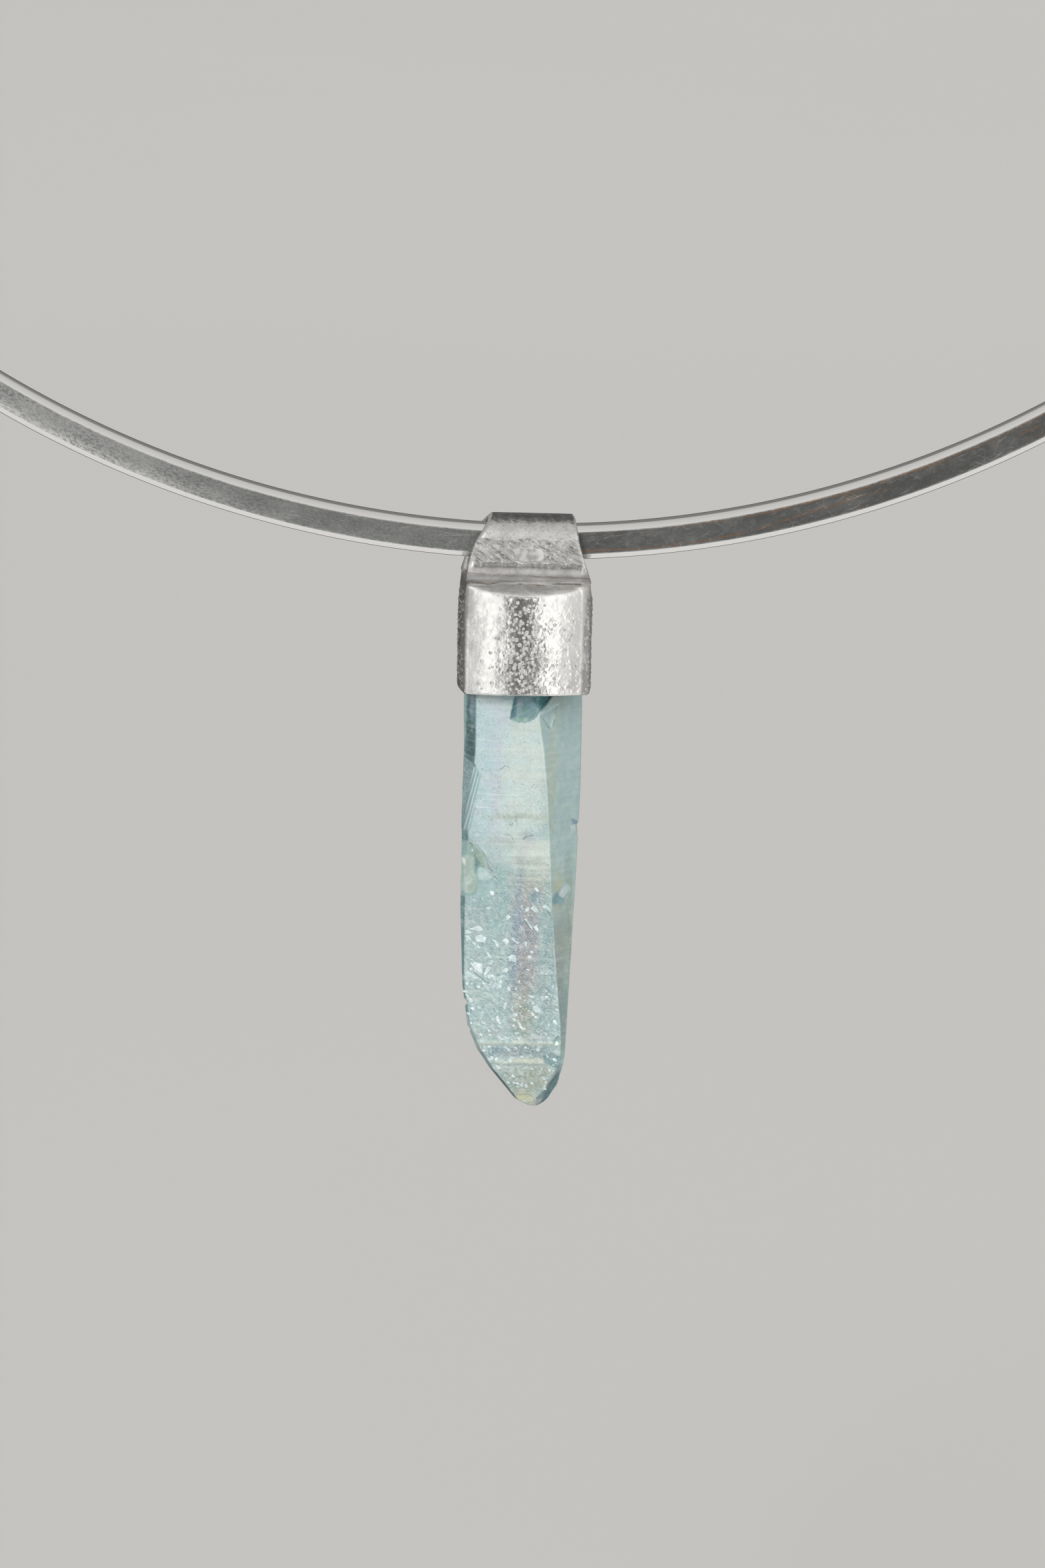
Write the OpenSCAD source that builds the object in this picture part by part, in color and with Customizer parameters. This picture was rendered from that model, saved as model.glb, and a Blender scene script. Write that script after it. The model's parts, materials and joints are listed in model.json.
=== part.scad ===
// Crystal point pendant on the rigid neck ring that it hangs from.
// Millimetres, +Z up. The front faces -Y, and +X is to the right as seen from the front.
// The origin is the point inside the back of the ring where it hangs or lies on the nape.

/* [Neck ring] */
// Inside diameter of the ring
collar_inner_d = 130; // [112:1:150]
// Width of the band as seen from the front
band_w = 2.15; // [1.7:0.05:3]
// Thickness of the band from front to back
band_t = 1.7; // [1.3:0.05:2.4]
// Radius of the band's rounded edges
band_edge_r = 0.5; // [0.3:0.05:0.6]

/* [Nape clasp] */
// Length of the sleeve that closes the ring
sleeve_len = 9; // [6:0.5:14]
// Wall of the sleeve
sleeve_wall = 0.5; // [0.4:0.05:0.9]
// Gap between the sleeve and the band inside it
sleeve_fit = 0.1; // [0.05:0.01:0.2]
// Gap between the two ends of the band, inside the sleeve
end_gap = 0.6; // [0.3:0.1:2]

/* [Bail] */
// Thickness of the silver strap that folds over the band
strap_t = 0.5; // [0.4:0.05:0.8]
// Width of the strap at the top of its fold
strap_top_w = 5.1; // [4:0.1:6.2]
// Width of the strap at the height of the band's middle
strap_mid_w = 6.6; // [5.5:0.1:7.4]
// How far the strap's middle lies to the left
strap_mid_shift = 0.1; // [0:0.05:0.2]
// How far the top of the fold lies to the right
strap_top_shift = 0.35; // [0:0.05:0.5]
// Height from the middle of the band down to the top of the cap
strap_drop = 2.2; // [1.9:0.05:3.5]
// Height of the solder fillets at the foot of the strap
foot_h = 1.15; // [0.7:0.05:1.5]
// Free play between the fold and the band that turns in it
bail_play = 0.05; // [0.03:0.01:0.3]

/* [Cap] */
// Height of the cap from its rim to its top
cap_h = 7; // [5:0.1:9]
// Wall of the cap
cap_wall = 0.35; // [0.25:0.05:0.6]
// Thickness of the cap's top plate over the crystal's root
cap_top_t = 1.3; // [1.1:0.1:2]
// Radius of the upright corners, outside
cap_corner_r = 0.9; // [0.7:0.05:1.3]
// How far the front and back walls bulge
cap_face_bulge = 0.75; // [0.3:0.05:1]
// How far the side walls bulge
cap_side_bulge = 0.4; // [0.2:0.05:0.6]
// Turn of the cap about the upright, in degrees
cap_turn = 4.5; // [0:0.5:6]
// Depth of the shoulders that slope from the strap's feet to the front and back walls
shoulder_run = 0.85; // [0.5:0.05:1.1]
// Height of the shoulders
shoulder_drop = 0.6; // [0.3:0.05:0.9]
// How far the sides draw in towards the top
neck_in = 0.3; // [0:0.05:0.5]
// Height over which the sides draw in
neck_h = 1.7; // [1:0.1:2.5]

/* [Crystal] */
// Width of the crystal at the cap's rim
crystal_w = 7.4; // [6.5:0.1:9]
// Depth of the crystal at the cap's rim
crystal_d = 4.8; // [4.2:0.1:6]
// Length of the crystal below the cap's rim
crystal_len = 26.8; // [18:0.1:40]
// Room for cement between the crystal's root and the cap's side walls
side_fit = 0.15; // [0.1:0.01:0.4]
// Room for cement in front of and behind the root
face_fit = 0.55; // [0.4:0.05:0.9]
// Least gap that the cement fills everywhere round the root
cement_gap = 0.08; // [0.05:0.01:0.15]

/* [Hidden] */
$fn = 96;

// The ring, hung from its inside at the nape
collar_inner_r = collar_inner_d / 2;
band_mid_r = collar_inner_r + band_w / 2;
ring_z = -(collar_inner_r - sleeve_fit - sleeve_wall);
bail_z = ring_z - band_mid_r;

// The cap round the crystal's root, measured from the middle of the band in the bail
cap_half_w = crystal_w / 2 + side_fit + cap_wall;
cap_half_d = crystal_d / 2 + face_fit + cap_wall;
cap_top = -strap_drop;
cap_rim = cap_top - cap_h;
cap_face_r = arc_radius(cap_half_w, cap_face_bulge);
cap_side_r = arc_radius(cap_half_d, cap_side_bulge);

// The strap. Its fold clears the band's corners at every swing of the pendant,
// and the rise of the curved band across the strap's width.
strap_base_w = 2 * (cap_half_w - neck_in);
band_corner_reach = norm([band_w / 2 - band_edge_r, band_t / 2 - band_edge_r]) + band_edge_r;
band_rise = band_mid_r - sqrt(pow(band_mid_r, 2) - pow(strap_base_w / 2, 2));
fold_r = band_corner_reach + band_rise + bail_play;
strap_r = fold_r + strap_t;
foot_run = min(cap_half_d - shoulder_run - strap_r, foot_h);
foot_r = arc_radius(foot_h, foot_run);
// How deep the strap's legs are soldered into the cap's top plate
leg_sink = cap_top_t / 2;

// Sections of the crystal from the cap's rim down to its tip. The first column is a share of the
// length. The next four are edges, as shares of half the width, and the last two are the front
// and back faces, as shares of half the depth.
SHARE = 0;
LEFT = 1;
FRONT_LEFT = 2;
FRONT_RIGHT = 3;
RIGHT = 4;
FRONT = 5;
BACK = 6;
crystal_rows = [
    [0.000, -1.000, -0.790, 0.240, 1.000, 0.98, 1.00],
    [0.060, -0.995, -0.785, 0.275, 1.005, 0.98, 1.00],
    [0.130, -0.980, -0.780, 0.360, 1.005, 0.97, 1.00],
    [0.235, -0.995, -0.830, 0.440, 1.005, 0.95, 1.00],
    [0.400, -0.985, -0.900, 0.520, 0.975, 0.90, 0.97],
    [0.510, -0.990, -0.915, 0.565, 0.945, 0.87, 0.95],
    [0.700, -0.930, -0.900, 0.690, 0.890, 0.81, 0.90],
    [0.800, -0.825, -0.770, 0.760, 0.860, 0.78, 0.85],
    [0.860, -0.650, -0.570, 0.770, 0.850, 0.74, 0.77],
    [0.905, -0.440, -0.360, 0.740, 0.810, 0.66, 0.64],
    [0.945, -0.210, -0.140, 0.670, 0.760, 0.54, 0.48],
    [0.983, 0.010, 0.060, 0.510, 0.580, 0.38, 0.26],
    [1.000, 0.220, 0.250, 0.370, 0.400, 0.25, 0.12]
];
// The root inside the cap carries on the first section
root_share = -(cap_h - cap_top_t - cement_gap) / crystal_len;
root_row = [for (i = [SHARE:BACK]) i == SHARE ? root_share : crystal_rows[0][i]];
// How steeply the side faces run back, in degrees from the front face
left_face_angle = 60;
right_face_angle = 49;
// How far the back face's edges lie in from the sides, as shares of the section's width
back_left_inset = 0.28;
back_right_inset = 0.2;

// Chips knocked out of the crystal's edges, each by one turned block. The first column is a share
// of the length, the second a share of half the width, and the third, forwards, of half the depth.
// Then the block's length, width and depth as shares of half the width, and its turns in degrees.
ACROSS = 1;
FORWARDS = 2;
BLOCK_LENGTH = 3;
BLOCK_WIDTH = 4;
BLOCK_DEPTH = 5;
TURN_X = 6;
TURN_Y = 7;
TURN_Z = 8;
chips = [
    [0.030, 0.02, 1.12, 0.56, 0.58, 0.26, 14, -6, 8],
    [0.052, 0.36, 1.03, 0.42, 0.28, 0.20, -10, -24, 28],
    [0.325, 1.03, -0.25, 0.26, 0.18, 0.90, 0, 45, 0],
    [0.250, -0.97, 0.86, 1.20, 0.24, 0.32, 0, 14, 38],
    [0.430, -0.86, 1.02, 0.80, 0.50, 0.24, 4, -12, 24],
    [0.760, -0.93, 0.20, 0.22, 0.14, 1.40, 0, 40, 0],
    [0.812, -0.86, 0.20, 0.18, 0.12, 1.40, 0, 35, 0],
    [0.918, 0.84, 0.20, 0.14, 0.10, 1.10, 0, 40, 0],
    [0.492, 0.78, 0.42, 0.24, 0.26, 0.12, 20, 12, 48],
    [0.790, 0.84, 0.64, 0.26, 0.26, 0.12, -15, 20, 35]
];

// Radius of the arc that bulges by that much over that half chord
function arc_radius(half_chord, bulge) = (pow(half_chord, 2) + pow(bulge, 2)) / (2 * bulge);

// Where two circles about p and q meet, to the right of the way from p to q
function circles_meet(p, p_radius, q, q_radius) =
    let (
        gap = norm(q - p),
        along = (q - p) / gap,
        reach = (pow(p_radius, 2) - pow(q_radius, 2) + pow(gap, 2)) / (2 * gap),
        aside = sqrt(pow(p_radius, 2) - pow(reach, 2))
    )
    p + reach * along + aside * [along.y, -along.x];

// The point on a circle about the centre, on the line through a further point
function point_towards(centre, through, radius) =
    centre + radius * (through - centre) / norm(through - centre);

// The six corners of one crystal section, anticlockwise as seen from above
function section(row) =
    let (
        half_w = crystal_w / 2,
        half_d = crystal_d / 2,
        z = cap_rim - row[SHARE] * crystal_len,
        left = row[LEFT] * half_w,
        front_left = row[FRONT_LEFT] * half_w,
        front_right = row[FRONT_RIGHT] * half_w,
        right = row[RIGHT] * half_w,
        front = -row[FRONT] * half_d,
        back = row[BACK] * half_d,
        left_y = front + (front_left - left) * tan(left_face_angle),
        right_y = front + (right - front_right) * tan(right_face_angle),
        back_left = left + (right - left) * back_left_inset,
        back_right = right - (right - left) * back_right_inset
    )
    [
        [front_left, front, z],
        [front_right, front, z],
        [right, right_y, z],
        [back_right, back, z],
        [back_left, back, z],
        [left, left_y, z]
    ];

// Rectangle with rounded corners, centred
module rounded_rectangle(w, h, r) {
    square([w - 2 * r, h], center = true);
    square([w, h - 2 * r], center = true);
    for (x = [-1, 1], y = [-1, 1])
        translate([x * (w / 2 - r), y * (h / 2 - r)])
            circle(r, $fn = 32);
}

// A solid along the ring's curve, through that many degrees, centred on the nape
module ring_sweep(angle) {
    rotate([90, 0, 0])
        rotate([0, 0, 90 - angle / 2])
            rotate_extrude(angle = angle, $fn = 360)
                translate([band_mid_r, 0])
                    children();
}

// A prism along Y from an outline drawn as seen from the front
module prism_along_y(depth) {
    rotate([90, 0, 0])
        linear_extrude(depth, center = true)
            children();
}

// A prism along X from an outline drawn in Y and Z
module prism_along_x(width) {
    rotate([90, 0, 90])
        linear_extrude(width, center = true)
            children();
}

// The cap's outline from above, taken in evenly. Four wide arcs meet at rounded corners.
module cap_plan(inset) {
    face_centre = [0, cap_half_d - cap_face_r];
    side_centre = [cap_half_w - cap_side_r, 0];
    corner = circles_meet(
        side_centre, cap_side_r - cap_corner_r,
        face_centre, cap_face_r - cap_corner_r
    );
    face_end = point_towards(face_centre, corner, cap_face_r - inset);
    side_end = point_towards(side_centre, corner, cap_side_r - inset);
    chord = side_end - face_end;
    chord_x = face_end.x - face_end.y * chord.x / chord.y;
    chord_y = face_end.y - face_end.x * chord.y / chord.x;
    intersection() {
        polygon([[chord_x, 0], [0, chord_y], [-chord_x, 0], [0, -chord_y]]);
        translate(face_centre)
            circle(cap_face_r - inset, $fn = 360);
        translate(-face_centre)
            circle(cap_face_r - inset, $fn = 360);
        translate(side_centre)
            circle(cap_side_r - inset, $fn = 360);
        translate(-side_centre)
            circle(cap_side_r - inset, $fn = 360);
    }
    for (x = [-1, 1], y = [-1, 1])
        translate([x * corner.x, y * corner.y])
            circle(cap_corner_r - inset);
}

// The strap from the side: a fold over the band, two legs and their solder fillets
module strap_side() {
    difference() {
        union() {
            circle(strap_r);
            translate([-strap_r, cap_top - leg_sink])
                square([2 * strap_r, strap_drop + leg_sink]);
            for (s = [0, 1])
                mirror([s, 0])
                    strap_foot();
        }
        circle(fold_r);
        translate([-fold_r, cap_top - cap_h])
            square([2 * fold_r, strap_drop + cap_h]);
    }
}

// The hollow fillet at the foot of one leg
module strap_foot() {
    difference() {
        translate([strap_r - strap_t / 2, cap_top - leg_sink])
            square([foot_run + strap_t / 2, foot_h + leg_sink]);
        translate([strap_r + foot_r, cap_top + foot_h])
            circle(foot_r, $fn = 180);
    }
}

// The strap from the front, widening down to the cap
module strap_front() {
    base = strap_base_w / 2;
    middle = strap_mid_w / 2;
    top = strap_top_w / 2;
    polygon([
        [-base, cap_top - cap_h],
        [base, cap_top - cap_h],
        [base, cap_top],
        [middle - strap_mid_shift, 0],
        [top + strap_top_shift, strap_r],
        [strap_top_shift - top, strap_r],
        [-middle - strap_mid_shift, 0],
        [-base, cap_top]
    ]);
}

// The cap from the front, drawn in at the top
module cap_front() {
    polygon([
        [-cap_half_w, cap_rim],
        [cap_half_w, cap_rim],
        [cap_half_w, cap_top - neck_h],
        [cap_half_w - neck_in, cap_top],
        [neck_in - cap_half_w, cap_top],
        [-cap_half_w, cap_top - neck_h]
    ]);
}

// The cap from the side, with its two sloping shoulders
module cap_side() {
    polygon([
        [-cap_half_d, cap_rim],
        [cap_half_d, cap_rim],
        [cap_half_d, cap_top - shoulder_drop],
        [cap_half_d - shoulder_run, cap_top],
        [shoulder_run - cap_half_d, cap_top],
        [-cap_half_d, cap_top - shoulder_drop]
    ]);
}

module neck_ring() {
    color([0.74, 0.73, 0.7])
        translate([0, 0, ring_z])
            difference() {
                rotate([90, 0, 0])
                    rotate_extrude($fn = 360)
                        translate([band_mid_r, 0])
                            rounded_rectangle(band_w, band_t, band_edge_r);
                translate([-end_gap / 2, -band_t, collar_inner_r - band_w])
                    cube([end_gap, 2 * band_t, 3 * band_w]);
            }
}

module nape_clasp() {
    inside_w = band_w + 2 * sleeve_fit;
    inside_t = band_t + 2 * sleeve_fit;
    inside_r = band_edge_r + sleeve_fit;
    color([0.7, 0.69, 0.66])
        translate([0, 0, ring_z])
            ring_sweep(sleeve_len / band_mid_r * 180 / PI)
                difference() {
                    rounded_rectangle(
                        inside_w + 2 * sleeve_wall,
                        inside_t + 2 * sleeve_wall,
                        inside_r + sleeve_wall
                    );
                    rounded_rectangle(inside_w, inside_t, inside_r);
                }
}

module bail_cap() {
    color([0.8, 0.79, 0.75])
        translate([0, 0, bail_z]) {
            intersection() {
                prism_along_x(4 * cap_half_w)
                    strap_side();
                rotate([0, 0, cap_turn])
                    prism_along_y(4 * cap_half_d)
                        strap_front();
                rotate([0, 0, cap_turn])
                    translate([0, 0, cap_rim])
                        linear_extrude(cap_h + strap_drop + 2 * strap_r)
                            cap_plan(0);
            }
            rotate([0, 0, cap_turn])
                cap_shell();
        }
}

module cap_shell() {
    difference() {
        intersection() {
            translate([0, 0, cap_rim])
                linear_extrude(cap_h)
                    cap_plan(0);
            prism_along_y(4 * cap_half_d)
                cap_front();
            prism_along_x(4 * cap_half_w)
                cap_side();
        }
        translate([0, 0, cap_rim - cap_wall])
            linear_extrude(cap_h - cap_top_t + cap_wall)
                cap_plan(cap_wall);
    }
}

// The crystal's faces, from the root inside the cap to the tip
module crystal_faces() {
    rows = concat([root_row], crystal_rows);
    sides = 6;
    last = (len(rows) - 1) * sides;
    rings = [for (k = [0:len(rows) - 2], i = [0:sides - 1]) [k * sides, i, (i + 1) % sides]];
    polyhedron(
        points = [for (row = rows) each section(row)],
        faces = concat(
            [[for (i = [sides - 1:-1:0]) i]],
            [for (r = rings) [r[0] + r[1], r[0] + r[2], r[0] + sides + r[2]]],
            [for (r = rings) [r[0] + r[1], r[0] + sides + r[2], r[0] + sides + r[1]]],
            [[for (i = [0:sides - 1]) last + i]]
        )
    );
}

// One chip, as a turned block that cuts into an edge
module chip(c) {
    half_w = crystal_w / 2;
    translate([c[ACROSS] * half_w, -c[FORWARDS] * crystal_d / 2, cap_rim - c[SHARE] * crystal_len])
        rotate([c[TURN_X], c[TURN_Y], c[TURN_Z]])
            cube([c[BLOCK_WIDTH], c[BLOCK_DEPTH], c[BLOCK_LENGTH]] * half_w, center = true);
}

module crystal_point() {
    color([0.66, 0.8, 0.8])
        translate([0, 0, bail_z])
            difference() {
                crystal_faces();
                rotate([0, 0, cap_turn])
                    translate([0, 0, cap_rim])
                        linear_extrude(cap_h)
                            difference() {
                                circle(2 * cap_half_w);
                                cap_plan(cap_wall + cement_gap);
                            }
                for (c = chips)
                    chip(c);
            }
}

neck_ring();
nape_clasp();
bail_cap();
crystal_point();
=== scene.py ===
import json
import math
import random

import bmesh
import bpy
import numpy as np
from mathutils import Matrix, Vector, noise
from mathutils.bvhtree import BVHTree


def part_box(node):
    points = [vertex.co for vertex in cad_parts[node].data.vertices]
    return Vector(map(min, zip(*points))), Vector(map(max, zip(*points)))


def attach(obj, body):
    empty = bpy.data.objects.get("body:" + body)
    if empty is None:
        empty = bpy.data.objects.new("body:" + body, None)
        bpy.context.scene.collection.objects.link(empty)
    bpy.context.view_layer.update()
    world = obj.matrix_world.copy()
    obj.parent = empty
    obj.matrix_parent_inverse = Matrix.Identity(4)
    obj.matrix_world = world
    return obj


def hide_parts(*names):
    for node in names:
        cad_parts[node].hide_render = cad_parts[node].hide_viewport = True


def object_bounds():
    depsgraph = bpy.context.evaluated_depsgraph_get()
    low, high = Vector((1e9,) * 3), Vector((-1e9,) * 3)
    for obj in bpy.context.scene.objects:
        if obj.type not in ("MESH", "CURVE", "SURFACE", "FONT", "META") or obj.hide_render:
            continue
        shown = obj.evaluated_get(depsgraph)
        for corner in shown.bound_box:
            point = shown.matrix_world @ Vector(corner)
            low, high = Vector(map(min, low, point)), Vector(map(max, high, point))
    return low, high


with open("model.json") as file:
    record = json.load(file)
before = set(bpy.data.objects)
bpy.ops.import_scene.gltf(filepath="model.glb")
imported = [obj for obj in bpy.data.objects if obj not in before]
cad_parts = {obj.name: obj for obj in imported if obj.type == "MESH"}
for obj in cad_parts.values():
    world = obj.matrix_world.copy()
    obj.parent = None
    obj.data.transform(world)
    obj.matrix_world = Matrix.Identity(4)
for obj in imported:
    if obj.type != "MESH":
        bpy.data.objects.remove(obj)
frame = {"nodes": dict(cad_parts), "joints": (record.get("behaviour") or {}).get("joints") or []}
cad_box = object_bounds()

# The pieces are shaped on a bench in millimetres and put in the frame at the end.
# The pendant's bench has its origin in the middle of the band in the bail, the ring's in its centre.
MM = 0.001
HINGE = Vector(frame["joints"][0]["pos_m"])
ring_low, ring_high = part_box("neck_ring")
RING_R = (ring_high.x - ring_low.x) / 2 / MM
RING_CENTRE = Vector((0, 0, ring_low.z + RING_R * MM))

# The band's section and the sleeve round it
BAND_W = 2.15
BAND_T = 1.7
BAND_EDGE_R = 0.5
BAND_SLANT = 0.4
SLANT_EDGE_R = 0.1
BAND_GAP = 0.6
BAND_MID_R = RING_R - BAND_W / 2
BAND_STEPS = 720
SLEEVE_LEN = 9
SLEEVE_FIT = 0.1
SLEEVE_WALL = 0.5
SLEEVE_STEPS = 72
SLEEVE_CORNER_FACES = 8
SLEEVE_RIM_R = 0.1
SLEEVE_GROOVES = (0.9, 1.5)
GROOVE_W = 0.22
GROOVE_DEPTH = 0.1

# The cap and the crystal, measured from the middle of the band
CAP_TOP = -2.2
CAP_RIM = -9.2
CRYSTAL_LEN = 26.8

# The photograph is 1568 x 2352 pixels, and shows 24 of them to the millimetre at the pendant
PHOTO_H = 2352
PX_PER_MM = 24
CAMERA_AWAY = 400
CAMERA_RISE = math.radians(12)
CAMERA_ROLL = math.radians(1.26)
CAMERA_AIM = Vector((0.08, 0, -15.4))
SENSOR = 36


class NodeKit:
    """Adds nodes to the tree of one material or world, each by one short call."""

    def __init__(self, tree):
        self.tree = tree
        tree.nodes.clear()

    def put(self, socket, value):
        """Link another node's socket, or set a constant. A colour is given as red, green and blue."""
        if isinstance(value, bpy.types.NodeSocket):
            self.tree.links.new(value, socket)
        else:
            socket.default_value = (*value, 1) if socket.type == "RGBA" else value

    def add(self, kind, settings=None, **inputs):
        """A node with its settings and its inputs, in whose names _ stands for a space."""
        node = self.tree.nodes.new("ShaderNode" + kind)
        for name, value in (settings or {}).items():
            setattr(node, name, value)
        for name, value in inputs.items():
            self.put(node.inputs[name.replace("_", " ")], value)
        return node

    def maths(self, operation, *values, kind="Math"):
        node = self.add(kind, {"operation": operation})
        for socket, value in zip(node.inputs, values):
            self.put(socket, value)
        return node.outputs[0]

    def chain(self, operation, values):
        """The values taken together one after the other."""
        total = values[0]
        for value in values[1:]:
            total = self.maths(operation, total, value)
        return total

    def times(self, *values):
        return self.chain("MULTIPLY", values)

    def plus(self, *values):
        return self.chain("ADD", values)

    def pile(self, base, *layers):
        """A base with layers added, each one the product of its values."""
        return self.plus(base, *(self.times(*layer) for layer in layers))

    def most(self, *values):
        return self.chain("MAXIMUM", values)

    def rise(self, value, low, high, to_low=0.0, to_high=1.0):
        """A smooth step from to_low, below low, to to_high, above high."""
        node = self.add("MapRange", {"interpolation_type": "SMOOTHSTEP"}, Value=value)
        for name, number in (("From Min", low), ("From Max", high), ("To Min", to_low), ("To Max", to_high)):
            node.inputs[name].default_value = number
        return node.outputs["Result"]

    def fall(self, value, low, high):
        """A smooth step from 1, below low, to 0, above high."""
        return self.rise(value, low, high, 1.0, 0.0)

    def window(self, value, low, high, soft):
        """1 between low and high, fading to 0 over soft outside them."""
        return self.times(self.rise(value, low - soft, low), self.fall(value, high, high + soft))

    def mix(self, factor, a, b):
        node = self.add("Mix", {"data_type": "RGBA"})
        for number, value in ((0, factor), (6, a), (7, b)):
            self.put(node.inputs[number], value)
        return node.outputs[2]

    def coated(self, colour, *coats):
        """A colour under coats laid on in turn. A coat is its colour, then the shares that thin it."""
        for coat, *shares in coats:
            colour = self.mix(self.times(*shares), colour, coat)
        return colour

    def bench(self, origin):
        """Object coordinates in millimetres from an origin in the frame."""
        place = self.add("TexCoord").outputs["Object"]
        centred = self.maths("SUBTRACT", place, origin, kind="VectorMath")
        return self.add("Mapping", Vector=centred, Scale=[1 / MM] * 3).outputs[0]

    def stretch(self, vector, scale, turn=(0, 0, 0)):
        """Turn a vector, then stretch it along the turned axes."""
        turned = self.add("Mapping", Vector=vector, Rotation=turn).outputs[0]
        return self.add("Mapping", Vector=turned, Scale=scale).outputs[0]

    def split(self, vector):
        return self.add("SeparateXYZ", Vector=vector).outputs

    def join(self, x, y, z):
        return self.add("CombineXYZ", X=x, Y=y, Z=z).outputs[0]

    def grain(self, vector, scale, detail=2.0, roughness=0.5, distortion=0.0):
        node = self.add(
            "TexNoise", Vector=vector, Scale=scale, Detail=detail, Roughness=roughness,
            Distortion=distortion,
        )
        return node.outputs["Fac"]

    def drawn_grain(self, vector, scale, detail=2.0, roughness=0.5, lean=0):
        """Noise with a scale for each axis, and leaning in the front plane by an angle in degrees."""
        return self.grain(self.stretch(vector, scale, (0, math.radians(lean), 0)), 1.0, detail, roughness)

    def cells(self, vector, scale, output="Distance"):
        return self.add("TexVoronoi", Vector=vector, Scale=scale).outputs[output]

    def bump(self, height, strength, distance):
        return self.add("Bump", Height=height, Strength=strength, Distance=distance * MM).outputs[0]

    def attribute(self, name, output="Fac"):
        return self.add("Attribute", {"attribute_name": name}).outputs[output]

    def finish(self, **inputs):
        """The surface shader and the output."""
        shader = self.add("BsdfPrincipled", **inputs)
        self.add("OutputMaterial", Surface=shader.outputs[0])


def new_material(name):
    material = bpy.data.materials.new(name)
    material.use_nodes = True
    return material, NodeKit(material.node_tree)


def smooth_step(value, low, high):
    """0 below low, 1 above high, smooth between. low may be above high."""
    share = np.clip((value - low) / (high - low), 0, 1)
    return share * share * (3 - 2 * share)


def noise_at(places, scale, shift=(0, 0, 0)):
    """Smooth noise at each place, from about -1 to 1. scale is a number, or one for each axis."""
    points = places * np.array(scale) + np.array(shift)
    return np.array([noise.noise(p) for p in points.tolist()])


# Camera, floor, light


def camera_axes():
    """The camera's right, up and back, in the frame."""
    back = Vector((0, -math.cos(CAMERA_RISE), math.sin(CAMERA_RISE)))
    level = Vector((1, 0, 0))
    upright = back.cross(level)
    right = level * math.cos(CAMERA_ROLL) + upright * math.sin(CAMERA_ROLL)
    return right, back.cross(right), back


def add_camera():
    lens = bpy.data.cameras.new("photo_camera")
    lens.sensor_width = SENSOR
    lens.lens = PX_PER_MM * CAMERA_AWAY * SENSOR / PHOTO_H
    lens.clip_start = 0.01
    lens.clip_end = 50
    camera = bpy.data.objects.new("photo_camera", lens)
    right, up, back = camera_axes()
    turn = Matrix((right, up, back)).transposed().to_4x4()
    place = HINGE + (CAMERA_AIM + back * CAMERA_AWAY) * MM
    camera.matrix_world = Matrix.Translation(place) @ turn
    bpy.context.scene.collection.objects.link(camera)
    bpy.context.scene.camera = camera


FLOOR_DROP = 60
FLOOR_SIZE = 12
FLOOR_COLOUR = (0.50, 0.495, 0.482)
FLOOR_MOTTLE = (0.507, 0.502, 0.489)


def floor_paper():
    material, kit = new_material("floor_paper")
    place = kit.add("TexCoord").outputs["Object"]
    tone = kit.coated(FLOOR_COLOUR, (FLOOR_MOTTLE, kit.rise(kit.grain(place, 2.0, 4.0), 0.35, 0.65)))
    fibre = kit.bump(kit.grain(place, 900, 3.0), 0.15, 0.05)
    kit.finish(Base_Color=tone, Roughness=0.85, Normal=fibre)
    return material


def add_floor():
    bm = bmesh.new()
    bmesh.ops.create_grid(bm, x_segments=1, y_segments=1, size=FLOOR_SIZE / 2)
    low = cad_box[0][2]
    bmesh.ops.translate(bm, verts=bm.verts, vec=(0, 0, low - FLOOR_DROP * MM))
    floor = put_in_scene("floor", as_mesh(bm), floor_paper())
    floor.visible_glossy = False


# The studio seen in the silver: light banks beside the camera, a dark gap between them where the
# camera stands, a light overhead and a paler one below. Angles are in degrees.
GAP_AIM = 4
GAP_HALF = 8
GAP_SOFT = 4
CORE_END = 19
CORE_SOFT = 8
BANK_END = 50
BANK_SOFT = 14
CORE_LIGHT = 0.95
BANK_LIGHT = 0.58
TOP_LIGHT = 0.66
LOW_LIGHT = 0.72
ROOM_LIGHT = 0.07
BACK_LIGHT = 0.35
ABOVE_BACK_LIGHT = 0.15
STUDIO_COLOUR = (1.0, 0.985, 0.965)
WALL_COLOUR = (0.565, 0.56, 0.548)


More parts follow.
